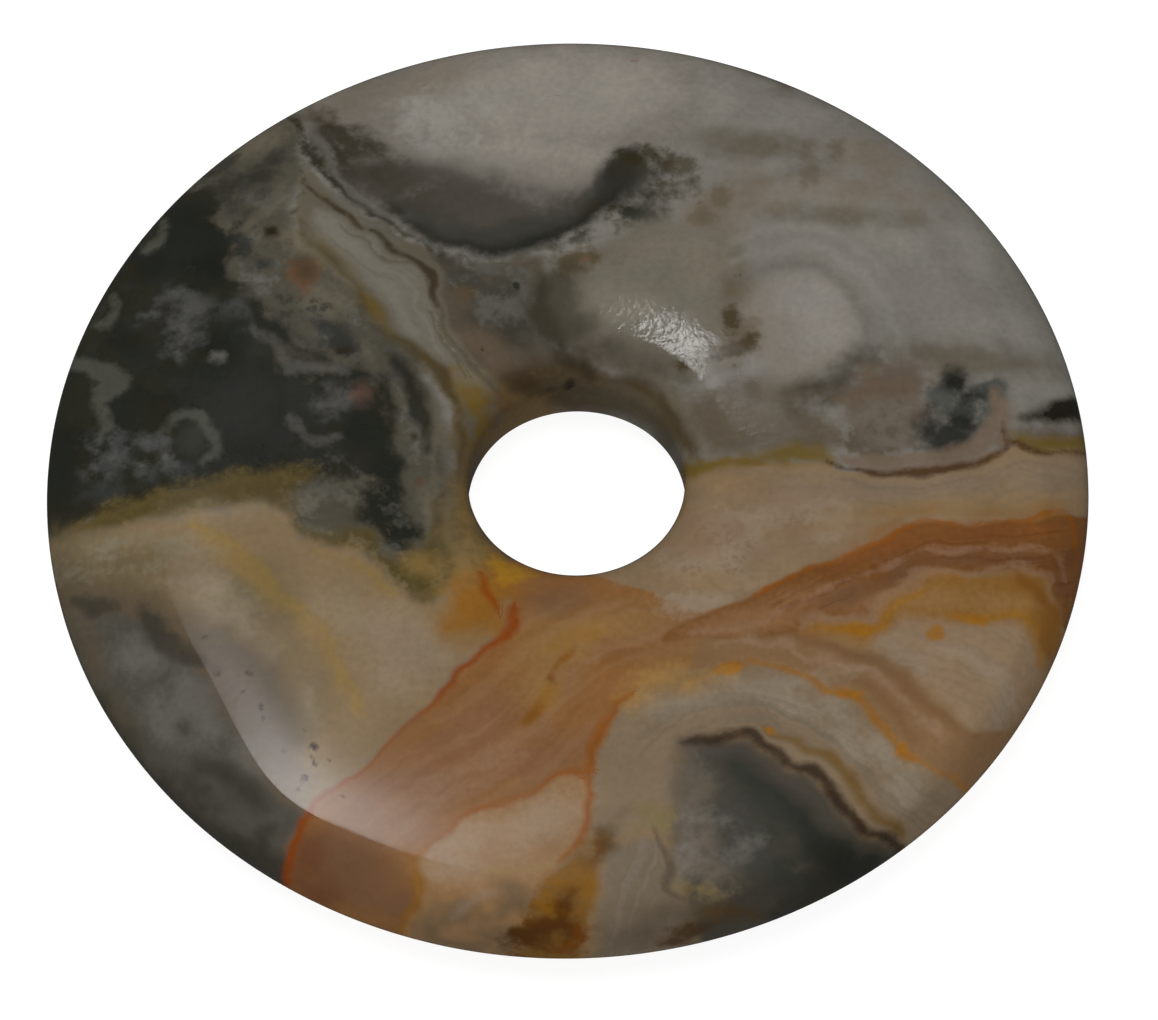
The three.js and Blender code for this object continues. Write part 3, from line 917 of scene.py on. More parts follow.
strand("olive dark", "#594d37",
       ((4, 6, 7, 6, 4), [(284, 505), (291, 520), (304, 532), (322, 538), (342, 534)]),
       ((4, 7, 8, 7), [(440, 524), (440, 545), (443, 565), (438, 584)]),
       ((3, 6, 8, 8, 5), [(350, 534), (366, 550), (382, 572), (402, 590), (424, 594)]),
       soft=0.3, wavy=0.12, grainy=0.12, amount=0.75)
strand("olive grains", "#7a6f55",
       ((2, 4, 4, 3), [(352, 536), (372, 552), (390, 574), (410, 588)]),
       ((2, 4, 4, 2), [(286, 500), (294, 516), (308, 530), (330, 534)]),
       soft=0.12, wavy=0.2, grainy=0.2, amount=0.3)
cloud("gold by hole", "#846b3f", (466, 566, 12, 26, 20), (456, 590, 26, 14, 30),
      (466, 530, 7, 30, 0), (480, 560, 10, 20, 30), (424, 564, 18, 13, -20), soft=0.4, wavy=0.3,
      amount=0.65)

# %% [markdown]
# The lower left is cream and yellow, and towards the rim it sinks into grey. On the rim the grey is
# deepened with painted shade, darkest along the outer edge.

# %% The cream field, the grey rim and the painted rim shade
patch("cream field", "#816c4f",
      [(-20, 566), (59, 545), (104, 532), (146, 522), (188, 514), (227, 508), (266, 504),
       (284, 514), (294, 530), (317, 544), (356, 550), (384, 572), (401, 592), (426, 604),
       (450, 598), (470, 585), (490, 590), (514, 612), (512, 628), (488, 647), (455, 674),
       (428, 708), (389, 743), (357, 776), (318, 800), (302, 828), (291, 855), (286, 900),
       (270, 990), (-60, 990)],
      soft=0.4, wavy=0.15, grainy=0.12)
cloud("field beige", "#645940", (120, 580, 110, 40, -15), (240, 620, 50, 60, -20),
      (80, 580, 50, 40, 0), (250, 660, 50, 40, 0), (290, 700, 40, 40, 0), soft=0.9, wavy=0.4,
      amount=0.9)
cloud("field pale", "#897d65", (400, 640, 50, 30, -30), (215, 600, 24, 20, 0), (230, 512, 40, 8, 5),
      (350, 610, 40, 20, -20), (112, 546, 30, 6, 12), soft=0.6, wavy=0.3, amount=0.5)
cloud("field blush", "#7c694f", (200, 600, 40, 26, -20), (260, 640, 30, 30, -30),
      (300, 680, 24, 40, -20), (170, 575, 40, 12, 0), soft=0.6, wavy=0.35, grainy=0.06, amount=0.5)
cloud("field frost", "#8b7c69", (215, 588, 30, 12, -20), (240, 622, 22, 12, -40),
      (268, 655, 14, 18, -30), (190, 580, 20, 8, 0), (310, 705, 12, 20, 20), soft=0.45, wavy=0.4,
      grainy=0.12, amount=0.4)
cloud("field peach", "#887561", (404, 647, 44, 26, -35), (384, 676, 26, 14, -40), soft=0.7,
      wavy=0.3, grainy=0.08, amount=0.7)
patch("field grey", "#574b3c",
      [(60, 585), (110, 585), (150, 595), (190, 618), (240, 640), (270, 665), (290, 700),
       (300, 740), (306, 790), (300, 822), (286, 850), (280, 900), (200, 960), (-60, 960),
       (-60, 585)],
      soft=0.8, wavy=0.25, amount=0.9)
# Partly the grey of the stone and partly painted shade: the patch starts at the top edge line and
# darkens the rim, where it turns away from the light.
patch("grey rim with painted shade", "#4a4841",
      [(40, 612), (90, 612), (150, 624), (190, 660), (218, 690), (236, 735), (258, 775), (290, 806),
       (304, 816), (288, 850), (282, 900), (200, 960), (-60, 960), (-60, 612)],
      soft=0.3, wavy=0.12, amount=0.9)
cloud("rim pale", "#67645d", (135, 658, 26, 20, -20), (200, 705, 24, 40, 30),
      (250, 760, 14, 30, 35), (170, 720, 30, 20, -40), soft=0.45, wavy=0.4, amount=0.6)
# Painted shade, in brown, along the outer edge of the left rim.
cloud("brown painted shade on the left rim", "#544a39", (72, 590, 18, 40, 10), (88, 650, 14, 40, 15), (115, 720, 12, 30, 30),
      soft=0.5, wavy=0.3, amount=0.7)
strand("field smoke", "#3b372e",
       ((8, 24, 20, 12), [(74, 603), (88, 604), (100, 606), (110, 606)]),
       ((10, 22, 26, 20, 14, 6),
        [(140, 612), (156, 630), (170, 646), (186, 655), (203, 661), (218, 672)]),
       soft=0.26, wavy=0.25, grainy=0.1, amount=0.88)
cloud("field dusk", "#524638", (238, 668, 26, 20, -40), (264, 690, 22, 16, -45),
      (222, 650, 18, 12, -30), (236, 690, 30, 24, -40), (256, 712, 24, 18, -45), soft=0.8, wavy=0.3,
      grainy=0.08, amount=0.7)
# Painted shade: a dark band along the outer edge of the lower left rim, where it turns away from
# the light.
strand("painted shade on the rim edge", "#35322a",
       ((10, 26, 30, 34, 40, 40, 30),
        [(96, 700), (130, 762), (166, 800), (206, 836), (250, 858), (278, 872), (290, 890)]),
       ((6, 20, 26, 20), [(196, 762), (220, 772), (242, 786), (262, 804)]),
       soft=0.5, wavy=0.3, grainy=0.1, amount=0.8)
cloud("rim blots", "#35342b", (262, 838, 12, 12, 0), (232, 846, 16, 8, -30), (184, 729, 8, 8, 0),
      (195, 790, 30, 12, -40), soft=0.35, wavy=0.4, grainy=0.1, amount=0.7)
strand("yellow glow", "#8a6f38",
       ((9, 18, 26, 28, 24, 16, 10, 8, 7, 7, 6),
        [(192, 524), (210, 536), (228, 548), (244, 564), (260, 582), (276, 598), (296, 612),
         (316, 632), (334, 664), (346, 690), (358, 710)]),
       soft=0.4, wavy=0.15, grainy=0.04, amount=0.6)
strand("yellow veins", "#846e35",
       ((2.4, 6.4, 7.2, 4, 4.8, 6.4, 4, 3.2, 3.2, 3.2, 3.2, 3.2, 1.6),
        [(192, 525), (206, 532), (222, 539), (238, 547), (255, 562), (269, 576), (280, 590),
         (294, 602), (311, 613), (324, 630), (338, 657), (348, 680), (366, 712)]),
       ((2.4, 4.8, 3.2), [(314, 551), (322, 553), (332, 556)]),
       ((2.4, 7.2, 9.6, 6.4), [(346, 562), (360, 566), (376, 578), (392, 594)]),
       soft=0.25, wavy=0.08, grainy=0.05, amount=0.6)
cloud("whitish strokes", "#827d6c", (80, 570, 22, 3, 10), (106, 558, 26, 3, 12),
      (150, 552, 30, 4, 8), (188, 550, 26, 4, 0), (150, 566, 30, 4, 5), (92, 576, 20, 3, 10),
      (176, 540, 24, 3, 5), (112, 544, 24, 5, 14), soft=0.2, wavy=0.2, grainy=0.15, amount=0.3)

# %% [markdown]
# A broad peach band runs from the hole to the lower rim, between two rust-red seams.

# %% The peach band
patch("peach", "#825a33",
      [(506, 560), (580, 560), (660, 560), (720, 600), (800, 600), (820, 640), (760, 665),
       (700, 668), (660, 672), (630, 697), (613, 707), (602, 730), (594, 750), (588, 773),
       (560, 775), (530, 793), (493, 806), (465, 816), (447, 834), (419, 853), (416, 885),
       (420, 905), (405, 930), (400, 990), (280, 990), (288, 874), (294, 841), (310, 814),
       (318, 800), (335, 787), (373, 760), (389, 743), (428, 708), (455, 673), (471, 661),
       (488, 647), (508, 631), (514, 610)],
      soft=0.1, wavy=0.05)
cloud("peach pink", "#7a583f", (400, 800, 80, 34, 35), (470, 740, 60, 24, 35),
      (520, 760, 50, 18, 10), (660, 630, 60, 20, 10), soft=0.7, amount=0.8)
cloud("peach gold", "#8a6b41", (560, 640, 50, 34, 30), (620, 620, 50, 20, 0), (700, 650, 50, 16, 0),
      (545, 680, 30, 20, 45), soft=0.7, wavy=0.2, amount=0.75)
cloud("peach dusk", "#684d38", (350, 872, 60, 34, -25), (400, 905, 40, 20, -20),
      (320, 850, 20, 20, 0), (560, 600, 40, 12, 0), soft=0.6, wavy=0.2, amount=0.8)
cloud("rim blush", "#643a24", (306, 862, 16, 34, -15), (318, 900, 20, 24, -20), soft=0.55, wavy=0.2,
      amount=0.6)
ripples("peach lace", "#8b6b4d",
        [(500, 620), (600, 600), (700, 610), (790, 615), (740, 655), (660, 668), (610, 695),
         (588, 760), (540, 780), (480, 805), (430, 840), (400, 850), (330, 810), (400, 745),
         (470, 670)],
        [(330, 850), (420, 780), (500, 735), (560, 680), (620, 645), (700, 628), (780, 625)],
        0.5,
        amount=0.3, soft=0.5, lines=(0.46, 0.66))
ripples("peach veins", "#704821",
        [(520, 620), (600, 600), (700, 600), (790, 615), (740, 655), (660, 668), (610, 695),
         (588, 760), (540, 775), (480, 800), (420, 830), (340, 800), (400, 745), (470, 680)],
        [(330, 870), (420, 800), (500, 750), (560, 690), (620, 655), (700, 640), (780, 640)],
        0.75,
        amount=0.25, soft=0.5, lines=(0.5, 0.66))
strand("pale lace", "#86654a",
       ((5, 12, 10, 12, 10, 5),
        [(470, 762), (485, 753), (500, 747), (515, 737), (532, 733), (548, 720)]),
       ((4, 10, 4), [(560, 680), (580, 662), (604, 650)]),
       ((4, 8, 8, 4), [(430, 782), (460, 768), (494, 764), (524, 754)]),
       ((4, 8, 8, 4), [(548, 712), (560, 698), (570, 680), (594, 664)]),
       ((4, 10, 12, 6), [(400, 830), (430, 806), (462, 790), (500, 780)]),
       ((3, 6, 6, 3), [(414, 786), (424, 782), (434, 778), (446, 770)]),
       soft=0.3, wavy=0.3, grainy=0.1, amount=0.65)
strand("gold blotches", "#7a4c12",
       ((6, 12, 12, 9, 5), [(522, 724), (532, 716), (540, 707), (545, 698), (550, 688)]),
       ((3, 6, 7, 4), [(556, 669), (563, 658), (572, 650), (578, 644)]),
       soft=0.2, wavy=0.12, grainy=0.06, amount=0.95)
cloud("gold haze", "#8a642e", (574, 638, 26, 7, 18), (653, 590, 12, 4, 0), (704, 592, 7, 5, 0),
      (548, 696, 14, 12, 40), (605, 748, 8, 36, -10), soft=0.25, wavy=0.25, amount=0.7)
cloud("orange cloud", "#85591e", (480, 604, 30, 30, 0), (466, 624, 22, 16, 0),
      (492, 586, 26, 18, 0), (498, 620, 12, 16, 0), soft=0.7, wavy=0.3, grainy=0.05, amount=0.95)
cloud("gold lip", "#98701f", (514, 574, 16, 9, -10), (500, 566, 14, 6, -40), soft=0.25, wavy=0.2,
      amount=0.8)

# %% [markdown]
# The grey on the right ends at a gold and brown line. Below it the layers are cream.

# %% The cream right of the hole
patch("right cream", "#826d54",
      [(560, 560), (680, 520), (690, 468), (740, 467), (780, 464), (825, 465), (855, 474),
       (900, 477), (944, 472), (985, 463), (1012, 444), (1040, 452), (1100, 455), (1130, 460),
       (1130, 540), (1080, 518), (1030, 519), (970, 524), (925, 521), (885, 539), (824, 564),
       (780, 578), (750, 600), (700, 610), (640, 590), (600, 575)],
      soft=0.1, wavy=0.05)
cloud("milky patches", "#948472", (740, 530, 24, 16, 0), (770, 520, 16, 10, 0),
      (826, 518, 26, 18, 10), (730, 560, 30, 18, 20), (700, 605, 30, 10, 0), (805, 505, 20, 10, 0),
      (690, 570, 20, 14, 0), (745, 575, 14, 10, 0), soft=0.45, wavy=0.6, grainy=0.15, amount=0.6)
cloud("cream blush", "#7f6752", (760, 555, 26, 8, 10), (725, 530, 14, 10, 0), (700, 545, 16, 10, 0),
      (790, 535, 16, 8, 10), (690, 520, 12, 10, 0), (780, 495, 24, 6, -10), soft=0.35, wavy=0.5,
      grainy=0.15, amount=0.6)
cloud("cream gold", "#88704f", (1000, 505, 90, 9, 2), (870, 515, 50, 8, 12), (720, 482, 34, 8, 0),
      (700, 580, 50, 8, 0), soft=0.45, wavy=0.2, amount=0.7)
cloud("cream grey", "#7c6c5a", (870, 488, 70, 10, -2), (960, 484, 50, 10, 4),
      (1050, 474, 50, 12, 0), soft=0.35, wavy=0.2, amount=0.7)
cloud("cream grain", "#6e5640", (715, 535, 26, 14, 0), (735, 560, 22, 12, 0), (790, 520, 22, 10, 0),
      (700, 570, 18, 10, 0), soft=0.35, wavy=0.4, grainy=0.15, amount=0.45,
      broken=("grain", 0.45, 0.6))
ripples("cream layers", "#6a6050",
        [(780, 470), (900, 482), (985, 468), (1030, 454), (1120, 458), (1120, 500), (1000, 502),
         (900, 502), (800, 492)],
        [(780, 466), (824, 464), (863, 475), (907, 480), (962, 473), (996, 460), (1014, 448),
         (1050, 456), (1120, 458)],
        0.26,
        amount=0.2, soft=0.35)
seam("thin layers", "#675643",
     ((1.5, 2.5, 2, 2.5, 1.5), [(842, 480), (878, 487), (907, 488), (945, 483), (985, 474)]),
     ((1.5, 2.5, 2), [(868, 500), (882, 502), (894, 505)]),
     ((1.5, 2, 2, 1.5), [(1000, 470), (1028, 462), (1052, 466), (1084, 472)]),
     soft=0.12, wavy=0.05, grainy=0.03, amount=0.3)
strand("gold line", "#65521f",
       ((14, 14, 14, 16, 20, 20, 16, 6),
        [(684, 470), (705, 466), (730, 463), (755, 459), (780, 455), (802, 454), (820, 456),
         (838, 463)]),
       ((8, 14, 16, 16), [(1012, 436), (1035, 442), (1060, 444), (1100, 445)]),
       soft=0.3, wavy=0.15, grainy=0.12, amount=0.9)
strand("pink line", "#6e5d4c",
       ((8, 22, 25, 26, 26, 20, 14),
        [(842, 457), (868, 463), (900, 465), (940, 461), (968, 455), (986, 438), (996, 414)]),
       ((10, 16, 18, 16, 10), [(1002, 444), (1006, 426), (1004, 412), (1000, 402), (994, 394)]),
       soft=0.22, wavy=0.12, grainy=0.06, amount=0.8)
strand("brown line", "#49331c",
       ((3, 6, 8, 9, 9, 9, 8, 8, 6, 4),
        [(826, 461), (844, 467), (864, 472), (886, 474), (908, 474), (928, 471), (948, 468),
         (972, 464), (994, 455), (1010, 442)]),
       ((2, 4, 3), [(1008, 444), (1005, 434), (1003, 424)]),
       ((4, 6, 5, 4), [(1010, 441), (1026, 447), (1048, 452), (1100, 455)]),
       soft=0.14, wavy=0.06, grainy=0.05, amount=0.95)
# %% [markdown]
# Under the cream an orange seam opens into a wedge of rust, with lace-like white lines.

# %% The orange wedge
patch("orange wedge", "#6f4824",
      [(752, 597), (780, 579), (824, 564), (868, 548), (900, 531), (925, 521), (970, 524),
       (1030, 521), (1080, 516), (1120, 530), (1120, 700), (1070, 640), (1058, 604), (1050, 586),
       (1030, 572), (980, 572), (940, 569), (905, 583), (880, 598), (872, 618), (853, 620),
       (820, 616), (800, 630), (760, 640), (700, 640), (660, 640), (700, 615)],
      soft=0.12, wavy=0.06)
cloud("wedge peach", "#876443", (745, 622, 60, 16, 12), (800, 598, 30, 10, 22),
      (840, 600, 34, 12, 10), soft=0.45, wavy=0.25, amount=0.85)
cloud("wedge mauve", "#66472f", (850, 595, 36, 8, 20), (900, 575, 30, 8, 24), (960, 560, 50, 7, 0),
      (1010, 560, 40, 7, 0), (1062, 580, 10, 24, -10), soft=0.3, wavy=0.2, amount=0.8)
ripples("rust layers", "#572806",
        [(770, 600), (830, 575), (900, 545), (1000, 535), (1070, 530), (1072, 600), (1030, 568),
         (940, 560), (880, 590), (800, 615)],
        [(740, 620), (800, 590), (860, 562), (905, 542), (930, 534), (1000, 536), (1060, 530)],
        0.3,
        amount=0.3, soft=0.25)
patch("gold fill", "#815b2a",
      [(806, 628), (824, 620), (853, 624), (872, 622), (880, 600), (902, 586), (940, 570),
       (980, 575), (1030, 574), (1050, 588), (1060, 606), (1064, 640), (1052, 660), (1040, 644),
       (1020, 622), (970, 624), (935, 630), (905, 645), (850, 642)],
      soft=0.28, wavy=0.08)
cloud("gold soft", "#8b6a42", (930, 600, 44, 12, 10), (1000, 602, 40, 8, 0), (850, 640, 40, 7, -5),
      soft=0.4, wavy=0.2, amount=0.75)
cloud("gold brown", "#70481a", (1030, 585, 20, 8, -40), (1052, 622, 10, 34, 0),
      (1056, 660, 12, 26, 10), soft=0.35, wavy=0.2, amount=0.6)
patch("fan cream", "#8a735a",
      [(885, 632), (905, 618), (950, 622), (1000, 622), (1024, 632), (1040, 660), (1030, 700),
       (1004, 730), (975, 735), (945, 706), (905, 670), (870, 648)],
      soft=0.45, wavy=0.1)
strand("fan light", "#8f8170",
       ((4, 12, 18, 20, 14), [(936, 650), (964, 655), (992, 672), (1006, 696), (996, 722)]),
       ((4, 10, 8), [(880, 640), (900, 650), (922, 668)]),
       soft=0.5, wavy=0.12, amount=0.6)
ripples("fan layers", "#75644f",
        [(880, 640), (935, 628), (1010, 622), (1040, 650), (1040, 700), (1000, 740), (930, 700)],
        [(860, 640), (920, 650), (980, 670), (1020, 700), (1040, 760)],
        0.42,
        amount=0.2, soft=0.3)
strand("orange line", "#834808",
       ((3, 3.5, 4, 4, 5, 5, 4, 5, 5, 5, 5, 5, 4, 4),
        [(756, 595), (768, 586), (790, 577), (812, 569), (838, 559), (866, 548), (892, 536),
         (908, 527), (924, 520), (948, 522), (1012, 522), (1046, 515), (1068, 516), (1077, 548)]),
       soft=0.14, wavy=0.08, grainy=0.05, amount=0.85)
cloud("orange halo", "#7b5417", (930, 511, 40, 5, 2), (1000, 513, 50, 5, 0), (880, 530, 24, 5, 24),
      (1048, 508, 20, 6, 0), soft=0.3, wavy=0.2, amount=0.45)
cloud("red glow", "#7e4a23", (854, 556, 30, 6, 20), (1000, 530, 60, 4, 0), (900, 542, 20, 6, 24),
      soft=0.35, wavy=0.2, amount=0.5)
strand("white lace", "#8a6b52",
       ((3, 5, 5, 5, 5, 5, 5, 5, 5, 5, 5, 5, 4),
        [(768, 616), (796, 604), (820, 590), (840, 582), (860, 576), (892, 564), (906, 556),
         (924, 549), (948, 552), (988, 549), (1036, 548), (1054, 553), (1068, 578)]),
       ((3, 5, 5, 3), [(690, 634), (730, 628), (754, 625), (776, 612)]),
       soft=0.15, wavy=0.14, grainy=0.05, amount=0.6)
strand("thick lace", "#86684f",
       ((5, 13, 11, 10, 11, 11, 12, 11, 9, 10, 8, 9, 9, 10, 8, 6),
        [(802, 634), (805, 622), (819, 616), (835, 620), (852, 619), (868, 620), (876, 606),
         (890, 596), (906, 584), (924, 576), (940, 569), (956, 573), (976, 571), (1012, 567),
         (1038, 576), (1058, 600)]),
       soft=0.2, wavy=0.18, grainy=0.06, amount=0.7, uneven=0.12)
strand("gold seams", "#8f6113",
       ((5, 9, 9, 8, 7, 5, 3),
        [(822, 623), (842, 630), (862, 632), (879, 627), (888, 612), (900, 602), (922, 591)]),
       ((3, 6, 7, 6, 5, 4, 3),
        [(952, 616), (964, 619), (980, 620), (998, 616), (1012, 614), (1026, 620), (1038, 636)]),
       ((2, 5, 5, 4), [(1024, 624), (1034, 640), (1040, 652), (1040, 664)]),
       soft=0.25, wavy=0.1, grainy=0.05, amount=0.75)
strand("brown seam", "#6c4418",
       ((3, 6, 7, 6, 4), [(1016, 572), (1028, 584), (1040, 596), (1052, 608), (1061, 622)]),
       soft=0.2, wavy=0.12, grainy=0.06, amount=0.6)
# %% [markdown]
# Parallel layers bend down to the right: peach, cream with fine grey lines, and gold.

# %% The bent layers
patch("bent peach", "#7e6143",
      [(700, 640), (767, 636), (800, 636), (850, 650), (900, 680), (940, 710), (970, 732),
       (1010, 730), (1120, 720), (1000, 860), (968, 790), (930, 764), (909, 757), (890, 732),
       (865, 706), (835, 692), (805, 676), (770, 662), (700, 668)],
      soft=0.15, wavy=0.05)
strand("bent brown", "#6f4f31",
       ((4, 9, 11, 11, 13, 13, 12, 8, 4),
        [(748, 634), (786, 634), (815, 642), (846, 652), (880, 662), (906, 684), (930, 706),
         (956, 724), (976, 738)]),
       ((3, 8, 9, 8, 6), [(840, 676), (866, 684), (888, 702), (902, 722), (914, 740)]),
       soft=0.3, wavy=0.1, grainy=0.04, amount=0.65)
strand("bent white", "#8c7058",
       ((4, 7, 7, 7, 8, 7, 7, 7, 5),
        [(720, 642), (752, 640), (780, 644), (800, 652), (824, 662), (848, 668), (876, 674),
         (896, 692), (910, 708)]),
       ((5, 6, 4), [(910, 708), (924, 722), (942, 736)]),
       soft=0.22, wavy=0.15, grainy=0.03, amount=0.8, uneven=0.09)
patch("bent cream", "#7c6a54",
      [(630, 706), (660, 690), (700, 684), (740, 666), (770, 664), (803, 676), (835, 694),
       (862, 708), (890, 738), (909, 760), (940, 770), (966, 790), (980, 830), (900, 850),
       (870, 832), (850, 812), (825, 782), (790, 766), (755, 738), (710, 734), (680, 744),
       (676, 790), (670, 830), (640, 830), (600, 850), (590, 880), (590, 840), (590, 780),
       (600, 742), (614, 715)],
      soft=0.3, wavy=0.06)
cloud("cream pale", "#8a7d6b", (780, 700, 60, 12, -20), (850, 740, 30, 12, -40),
      (690, 702, 40, 10, 10), (790, 682, 40, 8, 8), (840, 712, 30, 10, -50),
      (880, 750, 20, 14, -50), (905, 790, 20, 20, -50), soft=0.4, wavy=0.2, amount=0.75)
ripples("bent layers", "#655e4f",
        [(640, 730), (700, 700), (760, 690), (830, 716), (880, 760), (930, 790), (960, 830),
         (900, 840), (860, 800), (830, 765), (790, 745), (740, 726), (680, 735), (640, 770)],
        [(600, 800), (640, 735), (690, 700), (740, 692), (780, 698), (830, 722), (870, 756),
         (900, 790), (960, 830)],
        0.34,
        amount=0.34, soft=0.4)
seam("bent lines", "#6a5d4c",
     ((2, 3, 3, 3, 2), [(700, 710), (730, 703), (764, 706), (800, 722), (840, 744)]),
     ((2, 3, 3, 3, 2), [(690, 722), (724, 714), (758, 714), (790, 730), (830, 748)]),
     ((2, 3, 2), [(850, 736), (876, 760), (896, 786)]),
     ((2, 3, 3, 2), [(684, 734), (720, 724), (750, 722), (776, 738)]),
     soft=0.16, wavy=0.12, grainy=0.05, amount=0.4)
strand("bent gold", "#8c5c1e",
       ((5, 6, 7, 7, 8, 8, 8, 9, 9, 9, 10, 8),
        [(752, 660), (770, 667), (788, 670), (804, 675), (824, 690), (840, 693), (853, 696),
         (868, 710), (884, 730), (896, 743), (906, 755), (914, 760)]),
       ((5, 6, 7, 8), [(914, 760), (936, 769), (952, 778), (968, 790)]),
       ((5, 11, 10, 4), [(712, 674), (720, 671), (732, 667), (744, 664)]),
       soft=0.16, wavy=0.06, grainy=0.02, amount=0.85)
strand("inner gold", "#664c1e",
       ((3, 8, 9, 9, 10, 10, 11, 10, 10, 8),
        [(766, 728), (780, 736), (796, 743), (814, 751), (831, 758), (845, 772), (856, 790),
         (868, 808), (884, 822), (904, 836)]),
       soft=0.24, wavy=0.1, grainy=0.06, amount=0.85)
cloud("gold sparkles", "#905f14", (726, 669, 13, 4, 15), (902, 748, 6, 9, -40), (773, 729, 5, 4, 0),
      (845, 694, 12, 4, 0), (934, 632, 8, 7, 0), (862, 631, 12, 5, -5), (972, 619, 14, 4, 0),
      soft=0.12, wavy=0.12, amount=0.8)
cloud("yellow corner", "#9d7945", (655, 678, 24, 10, 10), (690, 685, 24, 6, 15),
      (635, 700, 14, 10, 30), soft=0.45, wavy=0.25, amount=0.8, grainy=0.04)

# %% [markdown]
# Inside the bend the stone turns blue-grey, and a brown line marks where it starts.

# %% The blue-grey core
patch("core", "#433f36",
      [(680, 740), (696, 738), (721, 737), (745, 738), (768, 752), (790, 768), (815, 778),
       (836, 802), (858, 829), (887, 843), (915, 860), (900, 960), (720, 1000), (690, 920),
       (684, 890), (674, 850), (674, 800), (680, 760)],
      soft=0.5, wavy=0.12)
cloud("core left", "#655c50", (690, 800, 20, 50, 0), (700, 850, 26, 30, 0), (715, 870, 24, 20, 0),
      soft=0.6, wavy=0.4, amount=0.85)
cloud("core blue", "#41403b", (745, 850, 30, 26, 0), (735, 815, 24, 20, 0), (765, 870, 24, 14, 0),
      soft=0.5, wavy=0.4, amount=0.7)
strand("core band", "#272924",
       ((10, 18, 24, 26, 30, 34, 40, 50),
        [(736, 766), (752, 780), (770, 793), (788, 808), (808, 830), (830, 852), (854, 870),
         (884, 890)]),
       soft=0.5, wavy=0.25, grainy=0.06, amount=0.9)
strand("core margin", "#484138",
       ((8, 16, 18, 18, 16, 8),
        [(700, 748), (726, 750), (748, 755), (768, 768), (790, 782), (812, 796)]),
       soft=0.4, wavy=0.2, amount=0.7)
patch("core deep", "#272720",
      [(800, 852), (834, 846), (860, 858), (900, 860), (920, 880), (860, 960), (780, 960),
       (766, 926), (790, 896), (806, 872)],
      soft=0.7, wavy=0.3, amount=0.8)
cloud("core dusk", "#35362f", (760, 800, 16, 24, 30), (775, 830, 20, 30, 20), (790, 870, 26, 20, 0),
      (740, 775, 14, 16, 0), soft=0.6, wavy=0.35, amount=0.75)
cloud("core frost", "#736f67", (688, 842, 10, 10, 0), (724, 822, 7, 6, 0), (742, 846, 10, 6, 20),
      (700, 815, 10, 6, 0), (758, 838, 5, 4, 0), (684, 866, 7, 8, 0), (730, 856, 10, 5, 0),
      soft=0.4, wavy=0.4, grainy=0.15, amount=0.4)
cloud("core pits", "#4a453b", (742, 808, 4, 4, 0), (706, 850, 6, 6, 0), (718, 838, 5, 5, 0),
      (802, 868, 6, 4, 0), (712, 868, 6, 4, 0), soft=0.15, wavy=0.2, grainy=0.1, amount=0.6)
strand("core line", "#2e2216",
       ((4, 9, 11, 11, 10, 10, 10, 10, 11, 11, 11, 11, 11, 11),
        [(683, 744), (698, 741), (712, 739), (741, 733), (755, 737), (770, 748), (784, 760),
         (799, 767), (813, 769), (827, 782), (836, 798), (849, 812), (863, 827), (902, 848)]),
       soft=0.2, wavy=0.08, grainy=0.06, amount=0.9)
# %% [markdown]
# Along the bottom a cream pocket is framed in rust, beside gold, brown and grey lace. Where it runs
# onto the rim it is darkened with painted shade.

# %% The bottom of the stone
patch("pocket", "#8c6c4a",
      [(417, 885), (420, 854), (434, 844), (450, 832), (466, 816), (495, 806), (530, 793),
       (565, 775), (586, 776), (587, 810), (584, 838), (570, 852), (556, 866), (540, 900),
       (520, 940), (500, 990), (400, 990), (402, 930), (420, 906)],
      soft=0.16, wavy=0.06)
cloud("pocket glow", "#9a846c", (540, 822, 40, 20, 25), (470, 840, 24, 10, 20),
      (450, 868, 24, 12, 0), soft=0.6, wavy=0.2, amount=0.7)
# Painted shade: darker paint on the rim under the pocket, along the bottom.
cloud("painted shade under the pocket", "#66553f", (452, 918, 32, 16, 0), (514, 902, 20, 16, 0),
      (430, 930, 22, 10, 0), (464, 945, 50, 8, -8), (490, 936, 42, 9, -6), soft=0.5, wavy=0.4,
      amount=0.8)
strand("pocket veins", "#8b7242",
       ((2.4, 4.8, 5.6, 4.8, 4, 3.2),
        [(488, 868), (506, 872), (526, 871), (546, 866), (560, 856), (576, 848)]),
       soft=0.18, wavy=0.15, grainy=0.05, amount=0.7)
strand("pocket pale", "#8a7766",
       ((2.4, 6.4, 7.2, 4), [(453, 920), (464, 908), (478, 898), (492, 893)]),
       soft=0.25, wavy=0.15, amount=0.5)
strand("bottom gold", "#6c4a14",
       ((10, 26, 44, 56, 60, 64, 60),
        [(602, 838), (590, 858), (576, 878), (566, 898), (558, 918), (552, 940), (548, 980)]),
       soft=0.4, wavy=0.6, grainy=0.12, amount=0.85)
cloud("bottom amber", "#80560f", (590, 885, 9, 15, 0), (556, 880, 12, 10, 0), (575, 870, 8, 8, 0),
      (548, 905, 10, 12, 0), soft=0.3, wavy=0.5, grainy=0.08, amount=0.65)
cloud("bottom brown", "#45260c", (548, 928, 20, 14, 15), (530, 940, 16, 8, 0), (564, 936, 12, 8, 0),
      (562, 905, 9, 6, 40), (600, 858, 6, 4, 30), soft=0.4, wavy=0.5, grainy=0.1, amount=0.85)
cloud("bottom rust", "#663706", (582, 938, 10, 10, 0), (590, 930, 8, 4, 20), (603, 846, 5, 5, 0),
      (570, 948, 14, 8, 0), (551, 679, 3, 3, 0), (420, 480, 4, 3, 0), soft=0.22, wavy=0.3,
      grainy=0.08, amount=0.75)
